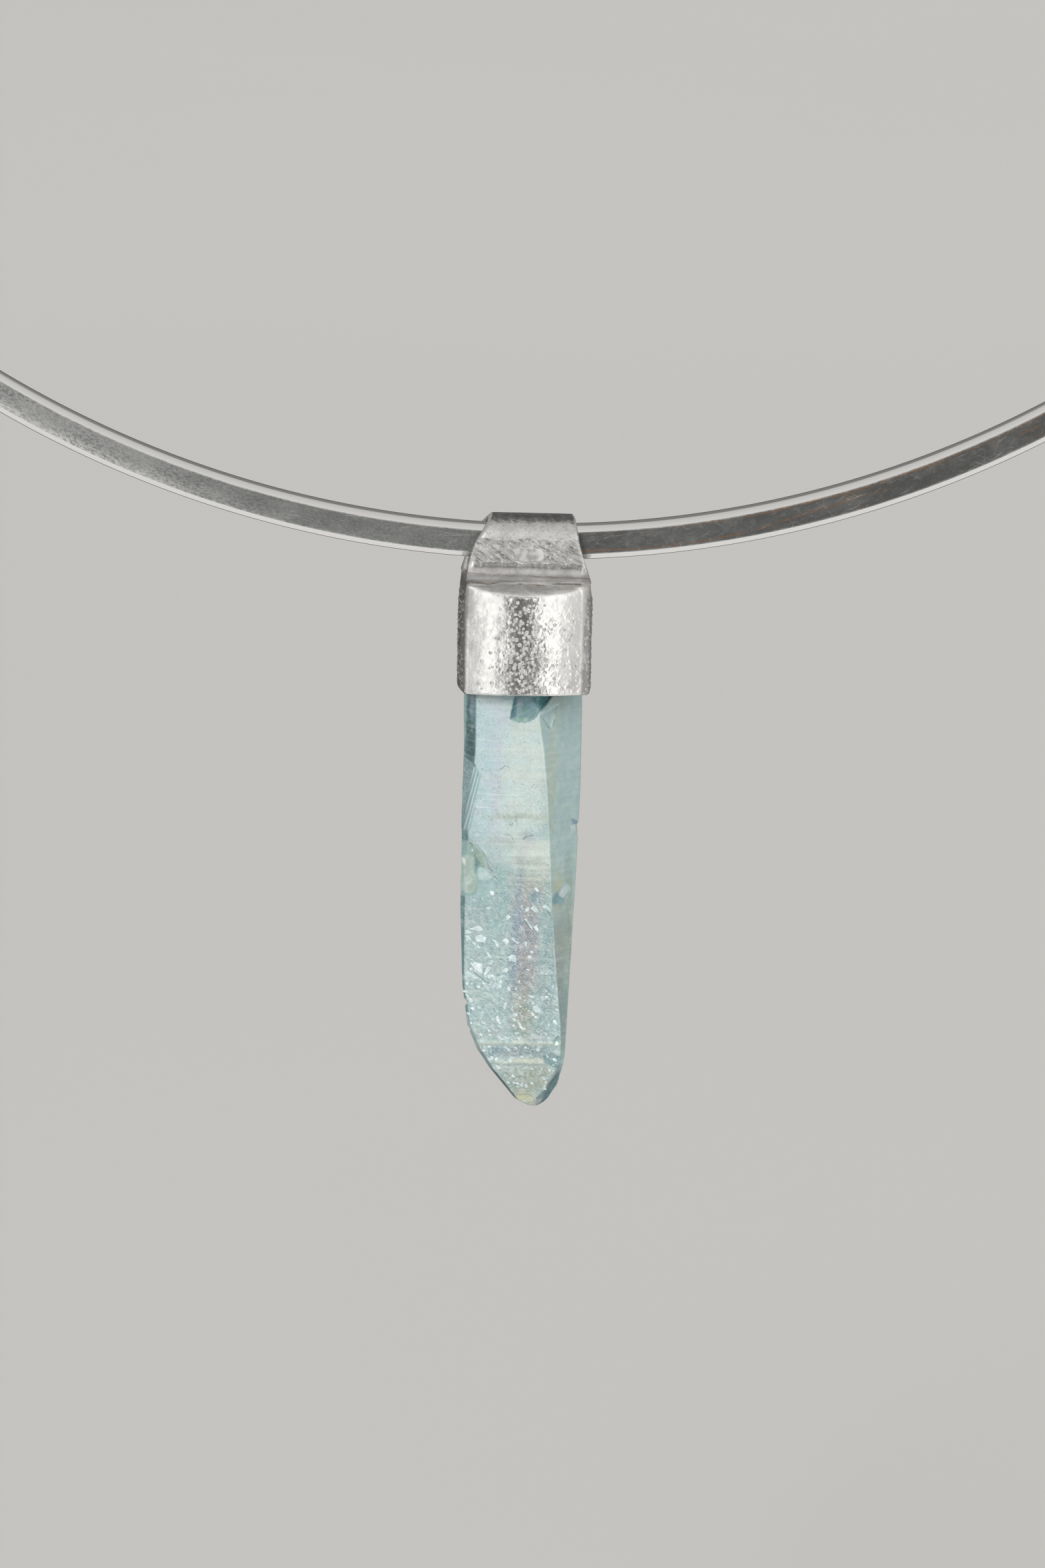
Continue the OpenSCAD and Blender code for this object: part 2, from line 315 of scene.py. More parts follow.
def studio_world():
    world = bpy.data.worlds.new("studio")
    world.use_nodes = True
    bpy.context.scene.world = world
    kit = NodeKit(world.node_tree)
    x, y, z = kit.split(kit.add("TexCoord").outputs["Generated"])
    to_degrees = 180 / math.pi
    to_front = kit.times(y, -1.0)
    around = kit.times(kit.maths("ARCTAN2", x, to_front), to_degrees)
    aside = kit.maths("ABSOLUTE", kit.plus(around, -float(GAP_AIM)))
    height = kit.times(kit.maths("ARCSINE", z), to_degrees)
    tipped = kit.times(kit.maths("ARCTAN2", z, to_front), to_degrees)
    beside = kit.times(
        kit.rise(aside, GAP_HALF, GAP_HALF + GAP_SOFT),
        kit.fall(aside, BANK_END, BANK_END + BANK_SOFT),
        kit.window(height, -40, 44, 10),
    )
    core = kit.fall(aside, CORE_END, CORE_END + CORE_SOFT)
    lights = (
        kit.times(beside, kit.pile(BANK_LIGHT, (core, CORE_LIGHT))),
        kit.times(kit.window(aside, 112, 150, 10), kit.window(height, -30, 42, 14), BACK_LIGHT),
        kit.times(kit.rise(tipped, 14, 26), kit.fall(tipped, 60, 150), TOP_LIGHT),
        kit.times(kit.window(tipped, -112, -42, 14), LOW_LIGHT),
        kit.times(kit.rise(tipped, 100, 140), kit.rise(height, 3, 9), ABOVE_BACK_LIGHT),
    )
    strength = kit.plus(kit.most(*lights), ROOM_LIGHT)
    both = kit.add("MixShader", Fac=kit.add("LightPath").outputs["Is Camera Ray"])
    kit.put(both.inputs[1], kit.add("Background", Color=STUDIO_COLOUR, Strength=strength).outputs[0])
    kit.put(both.inputs[2], kit.add("Background", Color=WALL_COLOUR, Strength=1.0).outputs[0])
    kit.add("OutputWorld", Surface=both.outputs[0])


# Soft distant lights that the silver doesn't mirror: name, where from, strength, spread in degrees
SOFT_SUNS = (
    ("key_light", (-0.45, -0.75, 0.62), 2.0, 30),
    ("fill_light", (0.8, -0.5, 0.3), 0.5, 60),
    ("back_light", (0.3, 0.9, 0.5), 0.9, 60),
)


def add_soft_sun(name, comes_from, strength, spread):
    lamp = bpy.data.lights.new(name, "SUN")
    lamp.energy = strength
    lamp.angle = math.radians(spread)
    light = bpy.data.objects.new(name, lamp)
    light.matrix_world = Vector(comes_from).to_track_quat("Z", "Y").to_matrix().to_4x4()
    light.visible_glossy = False
    bpy.context.scene.collection.objects.link(light)


# Putting pieces in the frame


def as_mesh(bm):
    """The mesh of a bmesh, which is used up."""
    mesh = bpy.data.meshes.new("piece")
    bm.to_mesh(mesh)
    bm.free()
    return mesh


def put_in_scene(name, mesh, material, smooth=True):
    """Make an object at the origin from a mesh that is already in metres, in the frame."""
    mesh.name = name
    mesh.materials.clear()
    mesh.materials.append(material)
    mesh.polygons.foreach_set("use_smooth", [smooth] * len(mesh.polygons))
    obj = bpy.data.objects.new(name, mesh)
    bpy.context.scene.collection.objects.link(obj)
    return obj


def from_bench(bm, origin):
    """The mesh, in the frame, of a bmesh on a bench in millimetres."""
    bmesh.ops.scale(bm, verts=bm.verts, vec=(MM, MM, MM))
    bmesh.ops.translate(bm, verts=bm.verts, vec=origin)
    return as_mesh(bm)


def carried_copy(node):
    """A merged copy of a CAD node, on the pendant's bench."""
    bm = bmesh.new()
    bm.from_mesh(frame["nodes"][node].data)
    bmesh.ops.translate(bm, verts=bm.verts, vec=-HINGE)
    bmesh.ops.scale(bm, verts=bm.verts, vec=(1 / MM, 1 / MM, 1 / MM))
    bmesh.ops.remove_doubles(bm, verts=bm.verts, dist=0.0005)
    return bm


def fine_mesh(bm, size):
    """A mesh with the shape of bm, all in small faces of one size."""
    rough = as_mesh(bm)
    holder = bpy.data.objects.new("holder", rough)
    bpy.context.scene.collection.objects.link(holder)
    remesh = holder.modifiers.new("remesh", "REMESH")
    remesh.mode = "VOXEL"
    remesh.voxel_size = size
    shaped = holder.evaluated_get(bpy.context.evaluated_depsgraph_get())
    fine = bpy.data.meshes.new_from_object(shaped)
    bpy.data.objects.remove(holder)
    bpy.data.meshes.remove(rough)
    return fine


def even_out(mesh, rounds, chosen=None):
    """Smooth the small steps that a remesh leaves on slanting faces, or round what is chosen."""
    bm = bmesh.new()
    bm.from_mesh(mesh)
    verts = [v for v in bm.verts if chosen is None or chosen(v.co)]
    for _ in range(rounds):
        bmesh.ops.smooth_vert(
            bm, verts=verts, factor=0.5, use_axis_x=True, use_axis_y=True, use_axis_z=True
        )
    bm.to_mesh(mesh)
    bm.free()


def places_and_normals(mesh):
    count = len(mesh.vertices)
    places = np.empty(count * 3, np.float32)
    normals = np.empty(count * 3, np.float32)
    mesh.vertices.foreach_get("co", places)
    mesh.vertex_normals.foreach_get("vector", normals)
    return places.reshape(-1, 3).astype(float), normals.reshape(-1, 3).astype(float)


def store(mesh, name, values):
    """Keep a number or a colour for each vertex, which the material reads."""
    kind, field = ("FLOAT", "value") if values.ndim == 1 else ("FLOAT_COLOR", "color")
    attribute = mesh.attributes.new(name, kind, "POINT")
    attribute.data.foreach_set(field, values.astype(np.float32).ravel())


# The way into a piece from each of its sides
INWARDS = {"front": (0, 1, 0), "back": (0, -1, 0), "left": (1, 0, 0), "right": (-1, 0, 0)}


def surface_of(mesh, places):
    """What a small piece can be set on: the faces of a mesh, on the pendant's bench."""
    return BVHTree.FromPolygons(places.tolist(), [tuple(p.vertices) for p in mesh.polygons])


def spot_on(surface, across, up, side, least=0.75):
    """The point of a surface behind a spot on one of its sides, and the way it faces there.

    least is how squarely it has to face that side, up to 1.
    """
    way = Vector(INWARDS[side])
    aside = Vector((0, across, up)) if way.x else Vector((across, 0, up))
    place, facing, _, _ = surface.ray_cast(aside - way * 10, way)
    if place is None or facing.dot(way) > -least:
        return None
    return place, facing


def standing(place, facing):
    """The matrix that takes a small piece from the bench's middle to a spot on a surface."""
    return Matrix.Translation(place) @ facing.to_track_quat("Z", "Y").to_matrix().to_4x4()


def moved_to(mesh, places):
    """The mesh, in the frame, with its vertices at new places on the pendant's bench."""
    in_frame = places * MM + np.array(HINGE)
    mesh.vertices.foreach_set("co", in_frame.astype(np.float32).ravel())
    mesh.update()
    return mesh


# Neck ring and its clasp


def band_places(kit):
    """Millimetres along the band from its lowest point, outwards from its middle line, and back."""
    x, y, z = kit.split(kit.bench(RING_CENTRE))
    turn = kit.maths("ARCTAN2", x, kit.times(z, -1.0))
    radius = kit.maths("SQRT", kit.plus(kit.times(x, x), kit.times(z, z)))
    along = kit.times(turn, BAND_MID_R)
    outwards = kit.plus(radius, -BAND_MID_R)
    return along, outwards, y


STAIN_HALF_W = 0.015
SCRATCH_W = 0.05
# Scratches on the band's face: turn in degrees, length, and the share of the face that stays free
BAND_SCRATCHES = ((6, 1.8, 0.67), (64, 0.9, 0.68), (-42, 1.0, 0.68), (24, 1.4, 0.68))


def scratch_lines(kit, plan, turn, length, free):
    """Short fine lines that lie at one angle on the plan of the band's face."""
    stretched = kit.stretch(plan, (1 / length, 1 / SCRATCH_W, 1), (0, 0, math.radians(turn)))
    return kit.rise(kit.grain(stretched, 1.0, 2.0, 0.6), free, free + 0.05)


def brown_lines(kit, plan, along, outwards):
    """Two thin stains that run along the band on the right: one high, one that climbs from low."""
    wander = kit.times(kit.plus(kit.drawn_grain(plan, (0.3, 0, 1)), -0.5), 0.25)
    high = kit.plus(outwards, wander, kit.rise(along, 8.0, 20.0, 0.60, 0.54))
    climbing = kit.plus(outwards, wander, kit.rise(along, 10.0, 21.0, -0.50, 0.06))
    high_line = kit.times(kit.window(high, -STAIN_HALF_W, STAIN_HALF_W, 0.05), kit.rise(along, 7.0, 13.0))
    low_line = kit.times(
        kit.window(climbing, -STAIN_HALF_W, STAIN_HALF_W, 0.06),
        kit.rise(along, 2.0, 3.5),
        kit.fall(along, 19.0, 24.0),
    )
    broken = kit.rise(kit.drawn_grain(plan, (1.1, 4.0, 1), 3.0, 0.7), 0.34, 0.56)
    smudge = kit.rise(kit.drawn_grain(plan, (0.5, 2.2, 1), 4.0, 0.65), 0.55, 0.72)
    smudge = kit.times(smudge, kit.rise(along, 14.0, 22.0), 0.5)
    return kit.most(kit.times(kit.most(high_line, low_line), broken), smudge)


def worn_band_silver():
    """Bright silver whose face is scratched, patchy and dark, and paler on the left. At the far left a
    painted highlight brightens the face towards its lower edge.
    """
    material, kit = new_material("worn_band_silver")
    along, outwards, back = band_places(kit)
    plan = kit.join(along, outwards, kit.times(back, 0.4))
    face = kit.rise(kit.maths("ABSOLUTE", back), BAND_T / 2 - 0.05, BAND_T / 2 - 0.01)
    left = kit.rise(along, 1.0, -3.0)
    far_left = kit.rise(along, -13.0, -30.0)

    cloud = kit.drawn_grain(plan, (0.22, 0.7, 1), 4.0, 0.6)
    patches = kit.drawn_grain(plan, (0.8, 1.6, 1), 4.0, 0.65)
    speckle = kit.drawn_grain(plan, (5.0, 10.0, 1), 4.0, 0.7)
    brushed = kit.drawn_grain(plan, (0.5, 16, 4), 3.0)
    mottle = kit.times(kit.rise(speckle, 0.38, 0.64), kit.rise(cloud, 0.30, 0.60, 0.45, 1.0), face)
    green_shade = kit.times(mottle, kit.pile(0.45, (left, 0.25)))
    brown = kit.times(brown_lines(kit, plan, along, outwards), face)
    scratches = kit.most(*(scratch_lines(kit, plan, *row) for row in BAND_SCRATCHES))
    scratches = kit.times(scratches, face, kit.rise(cloud, 0.30, 0.65, 0.9, 0.35))

    silver = (0.86, 0.855, 0.84)
    grey = kit.coated(
        (0.17, 0.172, 0.168),
        ((0.30, 0.30, 0.295), left),
        ((0.40, 0.40, 0.395), far_left),
        # Painted highlight: at the far left the face is painted brighter towards its lower edge.
        (silver, far_left, kit.rise(outwards, -0.1, 0.75), 0.8),
        ((0.40, 0.40, 0.39), kit.rise(patches, 0.48, 0.68), 0.35),
    )
    colour = kit.coated(
        silver,
        (grey, face, kit.rise(cloud, 0.35, 0.65, 0.84, 0.96)),
        (kit.mix(left, (0.05, 0.062, 0.058), (0.12, 0.15, 0.145)), green_shade),
        ((0.36, 0.215, 0.125), brown, 0.85),
        ((0.66, 0.66, 0.65), scratches, 0.75),
    )
    rough = kit.pile(0.10, (face, far_left, 0.14), (face, 0.14), (green_shade, 0.2), (brushed, 0.06))
    relief = kit.pile(0.0, (brushed, face, 0.4), (scratches, -0.8), (speckle, face, 0.6))
    kit.finish(Base_Color=colour, Metallic=1.0, Roughness=rough, Normal=kit.bump(relief, 0.5, 0.02))
    return material


def plain_clasp_silver():
    """The sleeve's silver, dark in its grooves."""
    material, kit = new_material("plain_clasp_silver")
    along, outwards, back = band_places(kit)
    plan = kit.join(along, outwards, back)
    cloud = kit.grain(plan, 0.8, 4.0)
    from_middle = kit.maths("ABSOLUTE", kit.plus(kit.maths("ABSOLUTE", along), -math.pi * BAND_MID_R))
    grooves = kit.window(from_middle, SLEEVE_LEN / 2 - 1.7, SLEEVE_LEN / 2 - 0.7, 0.15)
    colour = kit.coated(
        (0.80, 0.79, 0.765),
        ((0.55, 0.54, 0.51), kit.rise(cloud, 0.4, 0.7)),
        ((0.14, 0.13, 0.12), grooves, kit.rise(cloud, 0.3, 0.6), 0.7),
    )
    brushed = kit.drawn_grain(plan, (0.3, 9, 9), 3.0)
    rough = kit.pile(0.2, (cloud, 0.15))
    kit.finish(Base_Color=colour, Metallic=1.0, Roughness=rough, Normal=kit.bump(brushed, 0.3, 0.02))
    return material


def section(width, thickness, *corners):
    """A rectangle whose corners are bevelled in turn, each time by a reach and a number of faces."""
    bm = bmesh.new()
    bmesh.ops.create_grid(bm, x_segments=1, y_segments=1, size=0.5)
    bmesh.ops.scale(bm, verts=bm.verts, vec=(width, thickness, 1))
    for reach, segments in corners:
        bmesh.ops.bevel(
            bm, geom=bm.verts[:], offset=reach, segments=segments, profile=0.5, affect="VERTICES",
            material=-1,
        )
    return bm


def spun_tube(bm, start, angle, steps):
    """An open tube on the ring's bench: a section spun round the ring from the nape."""
    bmesh.ops.delete(bm, geom=bm.faces[:], context="FACES_ONLY")
    across = Matrix.Rotation(math.pi / 2, 3, "Y")
    bmesh.ops.rotate(bm, verts=bm.verts, cent=(0, 0, 0), matrix=across)
    bmesh.ops.translate(bm, verts=bm.verts, vec=(0, 0, BAND_MID_R))
    bmesh.ops.rotate(bm, verts=bm.verts, cent=(0, 0, 0), matrix=Matrix.Rotation(start, 3, "Y"))
    bmesh.ops.spin(
        bm, geom=bm.verts[:] + bm.edges[:], cent=(0, 0, 0), axis=(0, 1, 0), dvec=(0, 0, 0),
        angle=angle, steps=steps, use_merge=False, use_duplicate=False,
    )
    return bm


def open_edges(bm):
    return [e for e in bm.edges if e.is_boundary]


def add_neck_ring():
    """The band. Its edges are flat polished slants, which its use has rounded a little."""
    gap = BAND_GAP / BAND_MID_R
    bare = section(BAND_W, BAND_T, (BAND_SLANT, 1), (SLANT_EDGE_R, 4))
    bm = spun_tube(bare, gap / 2, 2 * math.pi - gap, BAND_STEPS)
    bmesh.ops.holes_fill(bm, edges=open_edges(bm), sides=0)
    bmesh.ops.recalc_face_normals(bm, faces=bm.faces)
    ring = put_in_scene("worn_neck_ring", from_bench(bm, RING_CENTRE), worn_band_silver())
    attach(ring, "collar")
    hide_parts("neck_ring")


def cut_grooves(bm, angle):
    """Draw the sleeve's outside in along two grooves near each end."""
    for vert in bm.verts:
        around = math.atan2(vert.co.x, vert.co.z)
        from_end = (angle / 2 - abs(around)) * BAND_MID_R
        depth = sum(max(0, 1 - ((from_end - g) / GROOVE_W) ** 2) for g in SLEEVE_GROOVES)
        middle = Vector((math.sin(around), 0, math.cos(around))) * BAND_MID_R
        vert.co -= (vert.co - middle).normalized() * GROOVE_DEPTH * depth


def sleeve_shell(room, angle):
    """An open tube round the band at the nape that leaves it some room."""
    bare = section(BAND_W + 2 * room, BAND_T + 2 * room, (BAND_EDGE_R + room, SLEEVE_CORNER_FACES))
    return spun_tube(bare, -angle / 2, angle, SLEEVE_STEPS)


def add_nape_clasp():
    angle = SLEEVE_LEN / BAND_MID_R
    bm = sleeve_shell(SLEEVE_FIT + SLEEVE_WALL, angle)
    cut_grooves(bm, angle)
    lining = as_mesh(sleeve_shell(SLEEVE_FIT, angle))
    bm.from_mesh(lining)
    bpy.data.meshes.remove(lining)
    for side in (-1, 1):
        ends = [e for e in open_edges(bm) if e.verts[0].co.x * side > 0]
        bmesh.ops.bridge_loops(bm, edges=ends)
    bmesh.ops.recalc_face_normals(bm, faces=bm.faces)
    rims = [e for e in bm.edges if e.calc_face_angle(0) > math.radians(60)]
    bmesh.ops.bevel(
        bm, geom=rims, offset=SLEEVE_RIM_R, segments=3, profile=0.5, affect="EDGES", material=-1
    )
    clasp = put_in_scene("grooved_nape_clasp", from_bench(bm, RING_CENTRE), plain_clasp_silver())
    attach(clasp, "collar")
    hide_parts("nape_clasp")


# Bail and cap

CAP_VOXEL = 0.085
CAP_SKIN = 0.075
CAP_ROUNDS = 8
SHOULDER_ROUNDS = 40
SHOULDER_LOW = -4.4
SHOULDER_HIGH = CAP_TOP - 0.2
# Beads to the millimetre in the material, and their radius as a share of their spacing
BEADS_PER_MM = 2.4
BEAD_RADIUS = 0.45
# The plain pale oval on the strap: its middle across and up, and its half width and half height
OVAL = (0.17, -0.56, 0.93, 0.44)
OVAL_RISE = 0.045


def outer_share(places, normals):
    """1 on the silver's outside, 0 inside the cap and the fold."""
    across = np.where(places[:, 2] > CAP_TOP, 0.0, 1.0)
    up = 1 - across
    middle = places * np.stack([across, np.ones(len(places)), up], axis=1)
    reach = np.linalg.norm(middle, axis=1) + 1e-9
    facing = np.einsum("ij,ij->i", middle / reach[:, None], normals)
    return smooth_step(facing, 0.1, 0.4)


def bead_density(places):
    """Where molten beads lie close together: in the cap's middle, low down, and on its sides."""
    low = smooth_step(places[:, 2], -5.0, -8.0)
    middle = np.exp(-(((places[:, 0] + 0.10) / 0.95) ** 2))
    right = smooth_step(places[:, 0], 0.2, 1.2) * smooth_step(places[:, 2], -3.6, -5.0)
    side = smooth_step(np.abs(places[:, 0]), 3.5, 3.9)
    patchy = smooth_step(noise_at(places, 0.7, (3.1, 0, 8.2)), -0.35, 0.25)
    front = 0.95 * middle + (0.30 * low + 0.22 * right) * patchy
    return np.clip(front + side * (0.65 + 0.25 * patchy), 0, 1)


def cap_share(places):
    """1 on the cap, 0 on the strap above it."""
    return smooth_step(places[:, 2], CAP_TOP - 0.5, CAP_TOP - 1.0)


def out_of_oval(x, z):
    """0 in the oval's middle, 1 on its border, more outside it."""
    middle, level, half_w, half_h = OVAL
    return abs((x - middle) / half_w) ** 3 + abs((z - level) / half_h) ** 3


def cap_relief(places):
    """Slow swells of the cast surface above its lowest, in millimetres, and the plain oval."""
    swell = 0.020 * noise_at(places, 0.6) + 0.007 * noise_at(places, 1.5, (5, 0, 0))
    oval = smooth_step(out_of_oval(places[:, 0], places[:, 2]), 1.3, 0.7) * (places[:, 1] < -1.5)
    return swell * (0.4 + 0.6 * cap_share(places)) + OVAL_RISE * oval


def beads(kit, place, per_mm):
    """The height of round beads, from 0 to 1."""
    return kit.fall(kit.times(kit.cells(place, per_mm), 1 / BEAD_RADIUS), 0.25, 1.0)


def curls(kit, place):
    """Winding wrinkles, from 0 to 1."""
    winding = kit.plus(kit.grain(place, 1.0, 2.0, 0.5, 1.2), -0.5)
    return kit.fall(kit.maths("ABSOLUTE", winding), 0.0, 0.13)


def oval_share(kit, x, z):
    """1 on the plain oval, 0 off it."""
    across = kit.maths("ABSOLUTE", kit.times(kit.plus(x, -OVAL[0]), 1 / OVAL[2]))
    up = kit.maths("ABSOLUTE", kit.times(kit.plus(z, -OVAL[1]), 1 / OVAL[3]))
    return kit.fall(kit.plus(kit.maths("POWER", across, 3.0), kit.maths("POWER", up, 3.0)), 0.7, 1.2)


def foot_seams(kit, place, x, y, z):
    """Broken brown lines where the feet of the strap meet the cap."""
    wobble = kit.times(kit.plus(kit.drawn_grain(place, (1.2, 1, 0.2), 3.0), -0.5), 0.22)
    level = kit.plus(z, wobble, kit.times(x, 0.02))
    upper = kit.times(kit.window(level, -1.85, -1.83, 0.04), 0.7)
    lines = kit.most(kit.window(level, -2.31, -2.28, 0.05), upper)
    broken = kit.rise(kit.drawn_grain(place, (1.1, 1, 1), 4.0, 0.7), 0.40, 0.62)
    return kit.times(lines, kit.pile(0.10, (broken, 0.90)), kit.rise(y, -1.0, -1.4))


def cap_finish(kit, place, patchy, melted, scores):
    """The cap's coats and relief: satin patches, dark hollows, filed sides painted darker as shade, a dull
    shoulder, curls.
    """
    x, _, z = kit.split(place)
    on_cap = kit.rise(z, CAP_TOP, CAP_TOP - 0.3)
    satin = kit.times(kit.rise(patchy, 0.35, 0.62), on_cap, kit.rise(x, 2.4, -0.8, 0.2, 1.0))
    hollow = kit.times(kit.rise(melted, 0.5, 0.0), kit.rise(kit.attribute("crowd"), 0.35, 0.8))
    # The cap's sides: filed, and painted darker as shade.
    side = kit.rise(kit.maths("ABSOLUTE", x), 3.4, 3.7)
    blotches = kit.grain(kit.stretch(place, (1.0, 1.0, 2.5)), 1.3, 4.0, 0.65)
    dull = kit.times(kit.attribute("shoulder"), kit.rise(blotches, 0.35, 0.65, 0.4, 1.0))
    right = kit.times(kit.rise(x, -0.2, 1.4), kit.rise(z, -3.2, -4.4), kit.rise(patchy, 0.4, 0.6))
    swirl = kit.grain(place, 0.9, 2.0, 0.5, 0.7)
    coats = (
        ((0.46, 0.457, 0.45), satin, 0.42),
        ((0.30, 0.297, 0.29), hollow, 0.62),
        # Painted shade on the cap's sides
        ((0.34, 0.335, 0.33), side, 0.45),
        ((0.40, 0.395, 0.385), dull, 0.8),
    )
    relief = ((melted, 0.30), (curls(kit, place), right, 0.08), (swirl, 0.14), (scores, side, 0.35))
    return coats, relief


def strap_finish(kit, place, patchy, lumps, beaded, scores):
    """The strap's coats, relief and roughness.

    It is painted dark as shade along its fold, pitted under that, and dark and scored round a pale oval,
    whose right end and nearby beads get painted highlights. Its foot is dull.
    """
    x, y, z = kit.split(place)
    strap = kit.times(kit.rise(y, -1.2, -1.6), kit.rise(z, -2.5, -2.2))
    oval = kit.times(oval_share(kit, x, z), strap)
    # The oval's right end, where a highlight is painted
    oval_end_highlight = kit.times(oval, kit.rise(x, OVAL[0] + 0.40, OVAL[0] + 0.75))
    oval_tone = kit.mix(kit.rise(lumps, 0.38, 0.62), (0.42, 0.42, 0.41), (0.74, 0.74, 0.73))
    off_oval = kit.plus(1.0, kit.times(oval, -1.0))
    pitted = kit.rise(kit.grain(place, 5.0, 4.0, 0.65), 0.48, 0.72)
    pits = kit.times(pitted, kit.rise(z, 0.2, 0.6), off_oval)
    ragged = kit.plus(z, kit.times(kit.plus(kit.grain(place, 2.0, 3.0), -0.5), 0.5))
    upper = kit.times(kit.rise(ragged, 0.25, 0.55), kit.rise(patchy, 0.3, 0.7, 0.35, 0.65))
    dark_band = kit.times(kit.window(ragged, -0.95, 0.30, 0.16), strap, off_oval)
    streaky = kit.times(kit.fall(scores, 0.38, 0.56), kit.rise(patchy, 0.35, 0.65, 1.0, 0.6))
    band_beads_and_highlights = kit.times(beaded, dark_band, kit.rise(kit.grain(place, 1.2, 1.0), 0.44, 0.56))
    foot = kit.times(kit.window(ragged, -2.6, -1.36, 0.14), strap, kit.rise(patchy, 0.3, 0.7, 0.9, 0.55))
    # Ragged streaks for the painted shade along the fold
    fold_streaks = kit.drawn_grain(place, (1.5, 3, 5), 4.0, 0.7, -30)
    fold_edge = kit.plus(z, kit.times(kit.plus(fold_streaks, -0.5), 0.8))
    fold = kit.times(kit.rise(fold_edge, 1.30, 1.55), kit.rise(fold_streaks, 0.35, 0.62, 0.5, 1.0))
    coats = (
        ((0.46, 0.455, 0.445), upper),
        ((0.33, 0.33, 0.32), pits, 0.45),
        ((0.50, 0.497, 0.485), dark_band, 0.5),
        ((0.13, 0.13, 0.125), dark_band, streaky, 0.9),
        ((0.38, 0.375, 0.365), foot),
        # Painted shade: the top of the fold is painted dark
        ((0.20, 0.20, 0.195), fold, 0.85),
        # Painted highlights on the beads in the dark band
        ((0.93, 0.93, 0.92), band_beads_and_highlights, 0.45),
        (oval_tone, oval, 0.8),
        # Painted highlight on the oval's right end
        ((0.95, 0.95, 0.94), oval_end_highlight, 0.8),
    )
    relief = ((pits, -0.1), (scores, dark_band, 0.10), (band_beads_and_highlights, 0.35), (lumps, oval, 0.4))
    return coats, relief, ((dark_band, 0.12), (oval, 0.24))


def reticulated_silver():
    """Cast silver whose skin melted into beads, on the cap, with the strap, scored and pitted by wear, on
    top of it. The cap's sides and the strap's fold are painted darker as shade; the strap's cut edges, its
    oval's right end and the beads round the oval get painted highlights.
    """
    material, kit = new_material("reticulated_silver")
    place = kit.bench(HINGE)
    x, y, z = kit.split(place)
    crowd, shoulder, cut_edge_highlight = (kit.attribute(name) for name in ("crowd", "shoulder", "cut_edge_highlight"))
    skin = kit.grain(place, 5.0, 3.0, 0.6)
    patchy = kit.grain(place, 1.1, 3.0, 0.6)
    lumps = kit.grain(place, 3.2, 2.0, 0.5)
    scores = kit.drawn_grain(place, (1.6, 2, 9.0), 5.0, 0.75, -32)
    tarnish = kit.rise(kit.grain(place, 1.3, 4.0, 0.6), 0.5, 0.75)
    seam = foot_seams(kit, place, x, y, z)
    small_beads = beads(kit, kit.stretch(place, (1, 1, 1), (0.3, 0.5, 0.2)), BEADS_PER_MM * 1.25)
    large_beads = beads(kit, place, BEADS_PER_MM)
    beaded = kit.most(small_beads, large_beads)
    melted = kit.times(kit.most(small_beads, kit.times(large_beads, 0.4)), kit.rise(crowd, 0.2, 0.7))

    cap_coats, cap_layers = cap_finish(kit, place, patchy, melted, scores)
    strap_coats, strap_layers, strap_rough = strap_finish(kit, place, patchy, lumps, beaded, scores)
    colour = kit.coated(
        (0.90, 0.895, 0.88), *cap_coats, *strap_coats,
        # Painted highlight: the strap's cut edges are painted bright silver, and are rougher too
        ((0.94, 0.935, 0.92), cut_edge_highlight, 0.85),
        ((0.62, 0.59, 0.55), tarnish, 0.2),
        ((0.20, 0.115, 0.06), seam, 0.75),
    )
    relief = kit.pile(
        0.0, (skin, 0.05), *cap_layers, *strap_layers,
        (lumps, kit.rise(z, CAP_TOP, CAP_TOP - 0.5), 0.10), (skin, kit.rise(crowd, 0.3, 0.8), 0.08),
    )
    rough = kit.pile(0.18, (skin, 0.10), (seam, 0.3), *strap_rough, (cut_edge_highlight, 0.28), (shoulder, 0.15))
    kit.finish(Base_Color=colour, Metallic=1.0, Roughness=rough, Normal=kit.bump(relief, 1.0, 0.12))
    return material


# Drops of silver: the side they stand on, its reach across, lowest and highest, tries and radii
BEAD_FIELDS = (
    ("front", 3.2, -8.95, -3.45, 420, 0.08, 0.165),
    ("back", 3.2, -8.95, -3.45, 300, 0.08, 0.165),
    ("left", 2.4, -8.95, -3.0, 280, 0.07, 0.14),
    ("right", 2.4, -8.95, -3.0, 280, 0.07, 0.14),
    ("front", 2.5, -1.0, 0.22, 150, 0.05, 0.10),
)
BEAD_SEED = 5
BEAD_SQUARENESS = 0.5
BEAD_FLATNESS = 0.75
BEAD_SUNK = 0.37
BEAD_SPACING = 0.95


def bead_chance(place):
    """How likely a drop is at a place: on the strap only near the plain oval, and never on it."""
    if place.z < CAP_TOP:
        return bead_density(np.array([place]))[0]
    reach = out_of_oval(place.x, place.z) ** (1 / 3)
    return 0 if reach < 1.05 else max(0.25, 1.6 - 0.5 * reach)


def one_drop():
    """A round drop of radius 1, a little flattened, with few faces."""
    bm = bmesh.new()
    bmesh.ops.create_uvsphere(bm, u_segments=8, v_segments=6, radius=1)
    bmesh.ops.scale(bm, verts=bm.verts, vec=(1, 1, BEAD_FLATNESS))
    return as_mesh(bm)


